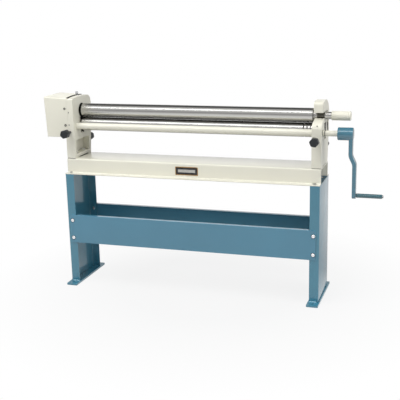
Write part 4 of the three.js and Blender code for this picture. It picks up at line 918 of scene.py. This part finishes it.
# Lifting grip. A steel sleeve enamelled cream and pinned to the upper roll's stub,
# its outer end rounded and a line turned near that end.
GRIP_ROUND, GRIP_ROUND_HIGH = 0.004, 0.0065
GRIP_LINE = 0.012
GRIP_EASE = 0.0018
grip_enamel = make_enamel("grip_enamel", CREAM, gloss_loss=0.38, drift=0.03, peel=360.0,
                          peel_depth=0.00004, edge_radius=0.0015, coat=0.1, edge_highlight=0.05)
start, stop, centre, r = measure("lift_grip", "X")
line = stop - GRIP_LINE
rounded_end = [(stop - GRIP_ROUND + GRIP_ROUND * math.sin(t),
                r - GRIP_ROUND_HIGH + GRIP_ROUND_HIGH * math.cos(t))
               for t in np.linspace(0, math.pi / 2, 9)]
grip = [(start, 0.0), (start, r - GRIP_EASE), (start + 0.0006, r - 0.0006), (start + GRIP_EASE, r),
        (line - 0.0024, r), (line - 0.0016, r - 0.0004), (line - 0.0008, r - 0.0013),
        (line, r - 0.0016), (line + 0.0008, r - 0.0013), (line + 0.0016, r - 0.0004),
        (line + 0.0024, r), *rounded_end, (stop - 0.0002, r - 0.010), (stop - 0.0012, r - 0.012),
        (stop - 0.0012, 0.0)]
piece("lift_grip_sleeve", turned(grip, "X", centre, 80), "upper_roll",
      grip_enamel, ["lift_grip"])

# Release hook. A cast cap that swings over the upper roll's right journal on a
# pin through the casting's tongue. Filled, enamelled cream.
hook_enamel = make_cast_enamel("hook_enamel", gloss_loss=0.34)
dressed("release_hook", "release_hook_casting", "hook", hook_enamel)

# Crank. A blue enamelled forging: round hub on the drive shaft, joggled arm with a
# rounded foot, and a free-turning steel handle on a riveted spindle. A cream
# sleeve spaces the hub from the bush.
CRANK_BLUE = (0.034, 0.165, 0.240, 1.0)
SLEEVE_BORE = 0.0113
HUB_LENGTH, HUB_RADIUS = 0.078, 0.033
ARM_THICK = 0.019
ARM_INSET = 0.002
ARM_REACH = 0.317
ARM_JOGGLE = 0.020
JOGGLE_TOP, JOGGLE_FOOT = 0.103, 0.163
HUB_HALF_WIDTH, FOOT_RADIUS = 0.024, 0.017
ARM_CORNER = 0.0032
SPINDLE_BORE = 0.0063
crank_enamel = make_enamel("crank_enamel", CRANK_BLUE, gloss_loss=0.18, drift=0.08, peel=320.0,
                           peel_depth=0.00003, edge_radius=0.002, coat=1.0, edge_highlight=0.9,
                           coat_ior=1.65)
handle_enamel = make_enamel("handle_enamel", (0.033, 0.120, 0.150, 1.0), gloss_loss=0.34,
                            drift=0.12, peel=320.0, peel_depth=0.00008, edge_radius=0.002,
                            coat=1.0, edge_highlight=0.5)
start, stop, drive_centre, r = measure("crank_sleeve", "X")
piece("crank_sleeve_turned", turned([
    (start, SLEEVE_BORE), (start, r - 0.0008), (start + 0.0008, r), (stop - 0.0008, r),
    (stop, r - 0.0008), (stop, SLEEVE_BORE), (start, SLEEVE_BORE),
], "X", drive_centre, 72), "drive", tube_enamel, ["crank_sleeve"])


def crank_arm_shell(arm_x, drive_y, drive_z):
    """The arm as a rounded section carried down a joggled centre line. Its width narrows evenly
    from the hub to the handle and closes there by a half circle; its corners are arcs of a
    fixed radius."""
    drop = np.concatenate([
        np.linspace(-0.012, 0.094, 20), np.linspace(0.096, 0.172, 34),
        np.linspace(0.176, 0.316, 24),
        ARM_REACH + FOOT_RADIUS * np.sin(np.linspace(0.0, math.pi / 2, 16)[1:])])
    share = np.clip((drop - JOGGLE_TOP) / (JOGGLE_FOOT - JOGGLE_TOP), 0, 1)
    middle = arm_x + ARM_THICK / 2 + ARM_JOGGLE * share * share * (3 - 2 * share)
    straight = HUB_HALF_WIDTH + (FOOT_RADIUS - HUB_HALF_WIDTH) * np.clip(drop / ARM_REACH, 0, 1)
    past = np.clip(drop - ARM_REACH, 0, None)
    tail = np.sqrt(np.clip(FOOT_RADIUS ** 2 - past ** 2, 0, None))
    half_width = np.where(drop > ARM_REACH, tail, straight)[:, None]
    turns = np.linspace(0, math.pi / 2, 5)
    around = np.concatenate([turns + quarter * math.pi / 2 for quarter in range(4)])
    corner = np.repeat([[1, 1], [-1, 1], [-1, -1], [1, -1]], 5, axis=0)
    soft = np.minimum(ARM_CORNER, half_width * 0.98)
    across = corner[None, :, 0] * (ARM_THICK / 2 - soft) + np.cos(around) * soft
    wide = corner[None, :, 1] * (half_width - soft) + np.sin(around) * soft
    lean = np.stack([np.ones(len(drop)), np.gradient(middle, drop)], 1)
    lean = lean / np.linalg.norm(lean, axis=1)[:, None]
    points = np.stack([middle[:, None] + across * lean[:, :1], drive_y + wide,
                       drive_z - drop[:, None] + across * lean[:, 1:]], -1)
    return points.reshape(-1, 3), tube_faces(len(drop), len(around), inside_out=True)


start, _, _, _ = measure("crank_arm", "X")
end = start + HUB_LENGTH
r = HUB_RADIUS
hub = turned([
    (start, 0.0), (start, r - 0.0025), (start + 0.0007, r - 0.0008), (start + 0.0025, r),
    (end - 0.0040, r), (end - 0.0018, r - 0.0008), (end - 0.0005, r - 0.0022), (end, r - 0.0045),
    (end, 0.0),
], "X", drive_centre, 96)
arm = crank_arm_shell(end - ARM_THICK - ARM_INSET, *drive_centre)
piece("crank_forging", several(hub, arm), "drive", crank_enamel, ["crank_arm"],
      smooth=40)

start, stop, centre, r = measure("handle_grip", "X")
piece("handle_bar", turned([
    (start, SPINDLE_BORE), (start, r - 0.0020), (start + 0.0006, r - 0.0006), (start + 0.0020, r),
    (stop - 0.0020, r), (stop - 0.0006, r - 0.0006), (stop, r - 0.0020), (stop, SPINDLE_BORE),
    (start, SPINDLE_BORE),
], "X", centre, 56), "handle", handle_enamel, ["handle_grip"])

# Adjusters. Hexagonal hand knobs moulded of black phenolic, each pressed on a
# threaded steel screw that works the wedge under a bearing block.
KNOB_RADIUS, KNOB_DEPTH = 0.0245, 0.042
KNOB_DOME = 0.007
NECK_RADIUS, NECK_LENGTH = 0.012, 0.005
THREAD_PITCH, THREAD_DEPTH = 0.002, 0.0011
WALL_BACK = 0.0830
TWISTS = {("front", "left"): 14.0, ("front", "right"): -9.0, ("rear", "left"): -22.0,
          ("rear", "right"): 5.0}


def make_phenolic(name, colour, roughness):
    """Moulded phenolic: mottled filler, its corners lightened as a painted highlight."""
    material, tree, shader = new_material(name)
    filler = cloud(tree, own_place(tree), 160.0, 5.0)
    edge = use(tree, edge_rounding, {"Radius": 0.002})
    # Lighter on the corners: painted highlight.
    tone = calc(tree, "ADD", spread(tree, filler, 0.3, 0.7, 0.8, 1.15),
                calc(tree, "MULTIPLY", edge["Edge"], 1.2))
    feed(tree, shader, {
        "Base Color": toned(tree, colour, tone),
        "Roughness": spread(tree, filler, 0.3, 0.7, roughness - 0.05, roughness + 0.1),
        "Normal": raised(tree, filler, 0.4, 0.0001, edge["Normal"]),
    })
    return material


knob_phenolic = make_phenolic("knob_phenolic", (0.014, 0.017, 0.020), roughness=0.36)
screw_steel = make_machined("screw_steel", (0.20, 0.20, 0.20), 0.35, 400.0, oil=0.3)


def knob_shell(x, z, back, out, twist):
    """A hexagon prism with rounded corners whose end is domed by a quarter ellipse, and a round
    neck behind. The outline is the hexagon eased towards a circle near both ends. A level is
    (depth, share of the radius, ease)."""
    turn = np.linspace(0, math.pi / 2, 9)
    dome = np.stack([KNOB_DEPTH - KNOB_DOME + KNOB_DOME * np.sin(turn),
                     1 - 0.30 * (1 - np.cos(turn)), 0.10 + 0.5 * np.sin(turn)], 1)
    levels = np.vstack([
        [(0.0, 0.82, 0.5), (0.0012, 0.90, 0.35), (0.0035, 0.975, 0.16), (0.006, 1.0, 0.10)], dome,
        [(KNOB_DEPTH - 0.0004, 0.45, 0.9), (KNOB_DEPTH - 0.0010, 0.25, 1.0),
         (KNOB_DEPTH - 0.0012, 0.0, 1.0)]])
    sides = 96
    angle = np.arange(sides) * 2 * math.pi / sides
    hexagon = math.cos(math.pi / 6) / np.cos(np.mod(angle, math.pi / 3) - math.pi / 6)
    along, share, ease = levels.T[:, :, None]
    ring = KNOB_RADIUS * share * ((1 - ease) * hexagon + ease * 0.94)
    points = lay_out(back + out * np.repeat(along, sides, 1), z + ring * np.sin(angle + twist),
                     x + ring * np.cos(angle + twist), "Y")[::-out]
    rim = list(range(sides))
    back_face = rim[::-1] if out < 0 else [i + (len(levels) - 1) * sides for i in rim]
    near, far = sorted((back - out * NECK_LENGTH, back + out * 0.004))
    neck = turned([(near, 0.0), (near, NECK_RADIUS - 0.0008), (near + 0.0008, NECK_RADIUS),
                   (far, NECK_RADIUS), (far, 0.0)], "Y", (z, x), 40)
    return several((points.reshape(-1, 3), grid_faces(len(levels), sides) + [back_face]), neck)


def screw_shell(x, z, low_y, high_y):
    """A threaded bar: the radius falls and rises along a helix, by the distance from the nearest
    crest in pitches."""
    steps = int((high_y - low_y) / THREAD_PITCH * 6)
    sides = 24
    along = np.linspace(low_y, high_y, steps)
    angle = np.arange(sides) * 2 * math.pi / sides
    phase = along[:, None] / THREAD_PITCH - angle[None] / (2 * math.pi)
    ring = SCREW_RADIUS - THREAD_DEPTH * np.abs(np.mod(phase, 1.0) - 0.5) * 2
    points = lay_out(np.repeat(along[:, None], sides, 1), z + ring * np.cos(angle),
                     x + ring * np.sin(angle), "Y")
    return points.reshape(-1, 3), tube_faces(steps, sides)


for side in ("left", "right"):
    for end, out in (("front", -1), ("rear", 1)):
        body = f"adjuster_{end}_{side}"
        start, stop, (z, x), _ = measure(f"knob_{end}_{side}", "Y")
        back = stop - NECK_LENGTH if out < 0 else start + NECK_LENGTH
        knob = knob_shell(x, z, back, out, math.radians(TWISTS[end, side]))
        piece(f"knob_moulded_{end}_{side}", knob, body, knob_phenolic,
              [f"knob_{end}_{side}"], smooth=38)
        start, stop, _, _ = measure(f"screw_{end}_{side}", "Y")
        screw = screw_shell(x, z, max(start, WALL_BACK) if out > 0 else start, stop)
        piece(f"screw_threaded_{end}_{side}", screw, body, screw_steel,
              [f"screw_{end}_{side}"], smooth=50)

# Grub screw. A small blackened socket screw, level with the right casting's front,
# that locks the casting's front guide strip.
GRUB_X, GRUB_Z = 0.5965, 0.9384
grub = socket_screw(GRUB_X, GRUB_Z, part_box("housing_right")[0].y, radius=0.0028, proud=0.0003)
piece("guide_grub_screw", grub, "stand", black_oxide)

# Nameplate. A blank plate of black enamelled brass on the bed's front, its border
# left as bare metal and an empty pale panel in its middle, held by adhesive.
PLATE_X, PLATE_Z, PLATE_WIDE, PLATE_HIGH = -0.1035, 0.6765, 0.128, 0.046
PLATE_CORNER = 0.004
PLATE_PROUD, PLATE_SUNK = 0.0009, 0.0001
BORDER_INNER, BORDER_FADE = 0.0036, 0.0004
PANEL_INSET, PANEL_FADE = 0.0150, 0.0005
BRASS = (0.42, 0.24, 0.08, 1.0)
PLATE_BLACK = (0.012, 0.012, 0.013, 1.0)
PANEL = (0.46, 0.455, 0.43, 1.0)


def make_nameplate():
    """Black field inside a thin metal border, with a bare panel in its middle; all from the
    plate's own UV map, in metres from its lower left corner."""
    material, tree, shader = new_material("nameplate_enamel")
    spot = shader_step(tree, "ShaderNodeUVMap", uv_map="plate").outputs["UV"]
    apart = shader_step(tree, "ShaderNodeSeparateXYZ", {"Vector": spot}).outputs
    from_side, from_end = (
        calc(tree, "MINIMUM", apart[axis], calc(tree, "SUBTRACT", size, apart[axis]))
        for axis, size in (("X", PLATE_WIDE), ("Y", PLATE_HIGH)))
    field = spread(tree, calc(tree, "MINIMUM", from_side, from_end), BORDER_INNER,
                   BORDER_INNER + BORDER_FADE, 0.0, 1.0)
    inward = calc(tree, "MINIMUM", *(
        spread(tree, edge, PANEL_INSET, PANEL_INSET + PANEL_FADE, 0.0, 1.0)
        for edge in (from_side, from_end)))
    bordered = shader_step(tree, "ShaderNodeMixRGB",
                           {"Fac": field, "Color1": BRASS, "Color2": PLATE_BLACK})
    filled = shader_step(tree, "ShaderNodeMixRGB",
                         {"Fac": inward, "Color1": bordered.outputs["Color"], "Color2": PANEL})
    haze = cloud(tree, own_place(tree), 60.0, 3.0)
    feed(tree, shader, {
        "Base Color": filled.outputs["Color"],
        "Roughness": spread(tree, haze, 0.3, 0.7, 0.22, 0.34),
        "Metallic": calc(tree, "MULTIPLY", calc(tree, "SUBTRACT", 1.0, field), 0.8),
    })
    return material


low_x, high_x = PLATE_X - PLATE_WIDE / 2, PLATE_X + PLATE_WIDE / 2
low_z, high_z = PLATE_Z - PLATE_HIGH / 2, PLATE_Z + PLATE_HIGH / 2
outline = rounded_path(rectangle(low_x, low_z, high_x, high_z), [PLATE_CORNER] * 4, 5, closed=True)
blank = swept(outline[::-1, ::-1], "Y", -BED_WALL - PLATE_PROUD, -BED_WALL + PLATE_SUNK)
plate = piece("blank_nameplate", blank, "stand", make_nameplate()).data
uv = plate.uv_layers.new(name="plate")
corner = np.zeros(len(plate.loops), np.int32)
plate.loops.foreach_get("vertex_index", corner)
spots = np.zeros(len(plate.vertices) * 3, np.float32)
plate.vertices.foreach_get("co", spots)
flat = spots.reshape(-1, 3)[corner][:, [0, 2]] - (low_x, low_z)
uv.data.foreach_set("uv", flat.astype(np.float32).ravel())

# Studio. A pale floor that fades to white and keeps the shadow, a broad soft box over
# the left front and a smaller one high on the right, and a surround that polished
# metal shows: grey in front, one bright strip above it, dark overhead, white behind.
FLOOR_RADIUS = 14.0
FLOOR_GREY = (0.52, 0.52, 0.52, 1.0)
SHADOW_REACH, WHITE_REACH, SHADOW_WHITE = 0.5, 1.35, 0.84
STRIP = 7.0
SKY = ((0.00, 0.50), (0.056, 0.38), (0.155, 0.70), (0.244, 0.80), (0.292, 0.90), (0.298, STRIP),
       (0.320, STRIP), (0.327, 1.00), (0.456, 0.90), (0.500, 0.50), (0.560, 0.20), (0.644, 0.11),
       (0.870, 0.11), (0.91, 1.0), (1.00, 1.0))
WHITE = (1, 1, 1, 1)


def floor_disc(radius, rings=24, sides=96):
    """A disc on the floor plane, its rings closer together at the middle."""
    out = radius * (np.arange(1, rings + 1) / rings) ** 2
    angle = np.arange(sides) * 2 * math.pi / sides
    points = np.stack([np.outer(out, np.cos(angle)), np.outer(out, np.sin(angle)),
                       np.zeros((rings, sides))], -1)
    faces = [[a, d, c, b] for a, b, c, d in grid_faces(rings, sides)]
    return points.reshape(-1, 3), faces + [list(range(sides))]


def blended(tree, share, first, second):
    """Two shaders mixed by a share."""
    return shader_step(tree, "ShaderNodeMixShader", {0: share, 1: first, 2: second}).outputs[0]


points, faces = floor_disc(FLOOR_RADIUS)
mesh = bpy.data.meshes.new("floor")
mesh.from_pydata(points.tolist(), [], faces)
work = bmesh.new()
work.from_mesh(mesh)
bmesh.ops.recalc_face_normals(work, faces=work.faces)
work.to_mesh(mesh)
work.free()
floor = bpy.data.objects.new("floor", mesh)
bpy.context.scene.collection.objects.link(floor)
material, tree, shader = new_material("floor_white")
feed(tree, shader, {"Base Color": FLOOR_GREY, "Roughness": 0.9, "Specular IOR Level": 0.1})
place = own_place(tree)
reach = shader_step(tree, "ShaderNodeVectorMath", {0: place}, operation="LENGTH").outputs["Value"]
behind = shader_step(tree, "ShaderNodeSeparateXYZ", {"Vector": place}).outputs["Y"]
path = shader_step(tree, "ShaderNodeLightPath").outputs
seen = calc(tree, "MAXIMUM", path["Is Camera Ray"],
            calc(tree, "MAXIMUM", path["Is Glossy Ray"], path["Is Transmission Ray"]))
fade = spread(tree, reach, SHADOW_REACH, WHITE_REACH, SHADOW_WHITE, 1.0)
level = spread(tree, reach, 1.2, 6.0, 1.0, 0.62)
level = calc(tree, "MULTIPLY", level, spread(tree, behind, -0.1, 0.4, 1.0, 0.47))
level = calc(tree, "MULTIPLY", level, spread(tree, behind, 0.6, 2.0, 1.0, 1.70))
level = calc(tree, "MAXIMUM", level, path["Is Camera Ray"])
glow = shader_step(tree, "ShaderNodeEmission", {"Color": WHITE, "Strength": level}).outputs[0]
feed(tree, tree.nodes["Material Output"], {
    "Surface": blended(tree, calc(tree, "MULTIPLY", seen, fade), shader.outputs[0], glow)})
mesh.materials.append(material)

world = bpy.data.worlds.new("studio")
bpy.context.scene.world = world
world.use_nodes = True
tree = world.node_tree
direction = shader_step(tree, "ShaderNodeTexCoord").outputs["Generated"]
apart = shader_step(tree, "ShaderNodeSeparateXYZ", {"Vector": direction}).outputs
forward = calc(tree, "MULTIPLY", apart["Y"], -1.0)
over = calc(tree, "DIVIDE", calc(tree, "ARCTAN2", apart["Z"], forward), math.pi)
arch = shader_step(tree, "ShaderNodeValToRGB", {"Fac": over})
stops = arch.color_ramp.elements
while len(stops) < len(SKY):
    stops.new(0.5)
for stop, (place, level) in zip(stops, SKY):
    stop.position = place
    stop.color = (level / STRIP, level / STRIP, level / STRIP, 1)
path = shader_step(tree, "ShaderNodeLightPath").outputs
mirrored, plain, white = (
    shader_step(tree, "ShaderNodeBackground", {"Color": colour, "Strength": strength}).outputs[0]
    for colour, strength in ((arch.outputs["Color"], STRIP), (WHITE, 0.50), (WHITE, 1.0)))
through = calc(tree, "MAXIMUM", path["Is Camera Ray"], path["Is Transmission Ray"])
lit = blended(tree, path["Is Glossy Ray"], plain, mirrored)
feed(tree, tree.nodes["World Output"], {"Surface": blended(tree, through, lit, white)})


def box_light(name, place, aim, wide, deep, power):
    """A rectangular soft box at a place, turned to face a point."""
    lamp = bpy.data.lights.new(name, "AREA")
    lamp.shape = "RECTANGLE"
    lamp.size, lamp.size_y = wide, deep
    lamp.energy = power
    obj = bpy.data.objects.new(name, lamp)
    obj.location = place
    obj.rotation_mode = "QUATERNION"
    obj.rotation_quaternion = (Vector(aim) - Vector(place)).to_track_quat("-Z", "Y")
    obj.visible_glossy = False
    bpy.context.scene.collection.objects.link(obj)


box_light("key_box", (-1.3, -1.9, 4.1), (-0.1, 0.0, 0.7), wide=3.6, deep=2.8, power=142.0)
box_light("side_box", (3.6, -0.6, 2.6), (0.0, 0.0, 0.9), wide=1.6, deep=1.8, power=58.0)

# View. The camera stands in front and to the right, a little above the rolls, looks
# slightly down and leans by a degree and a half about its own line of sight.
STAND_POINT = (1.319491, -4.227557, 1.626054)
YAW, PITCH, ROLL = math.radians(18.14494), math.radians(14.29174), math.radians(-1.37525)
FOCAL_PIXELS, PICTURE_PIXELS = 832.3855, 400
SENSOR = 36.0
ahead = Vector((-math.sin(YAW) * math.cos(PITCH), math.cos(YAW) * math.cos(PITCH),
                -math.sin(PITCH)))
right = Vector((math.cos(YAW), math.sin(YAW), 0.0))
up = right.cross(ahead)
tilt_right = right * math.cos(ROLL) + up * math.sin(ROLL)
tilt_up = up * math.cos(ROLL) - right * math.sin(ROLL)
lens = bpy.data.cameras.new("view")
lens.sensor_width = SENSOR
lens.lens = FOCAL_PIXELS / PICTURE_PIXELS * SENSOR
lens.clip_end = 60.0
camera = bpy.data.objects.new("view", lens)
turn = Matrix((tilt_right, tilt_up, -ahead)).transposed().to_4x4()
camera.matrix_world = Matrix.Translation(STAND_POINT) @ turn
bpy.context.scene.collection.objects.link(camera)
bpy.context.scene.camera = camera
bpy.context.scene.view_settings.view_transform = "Standard"
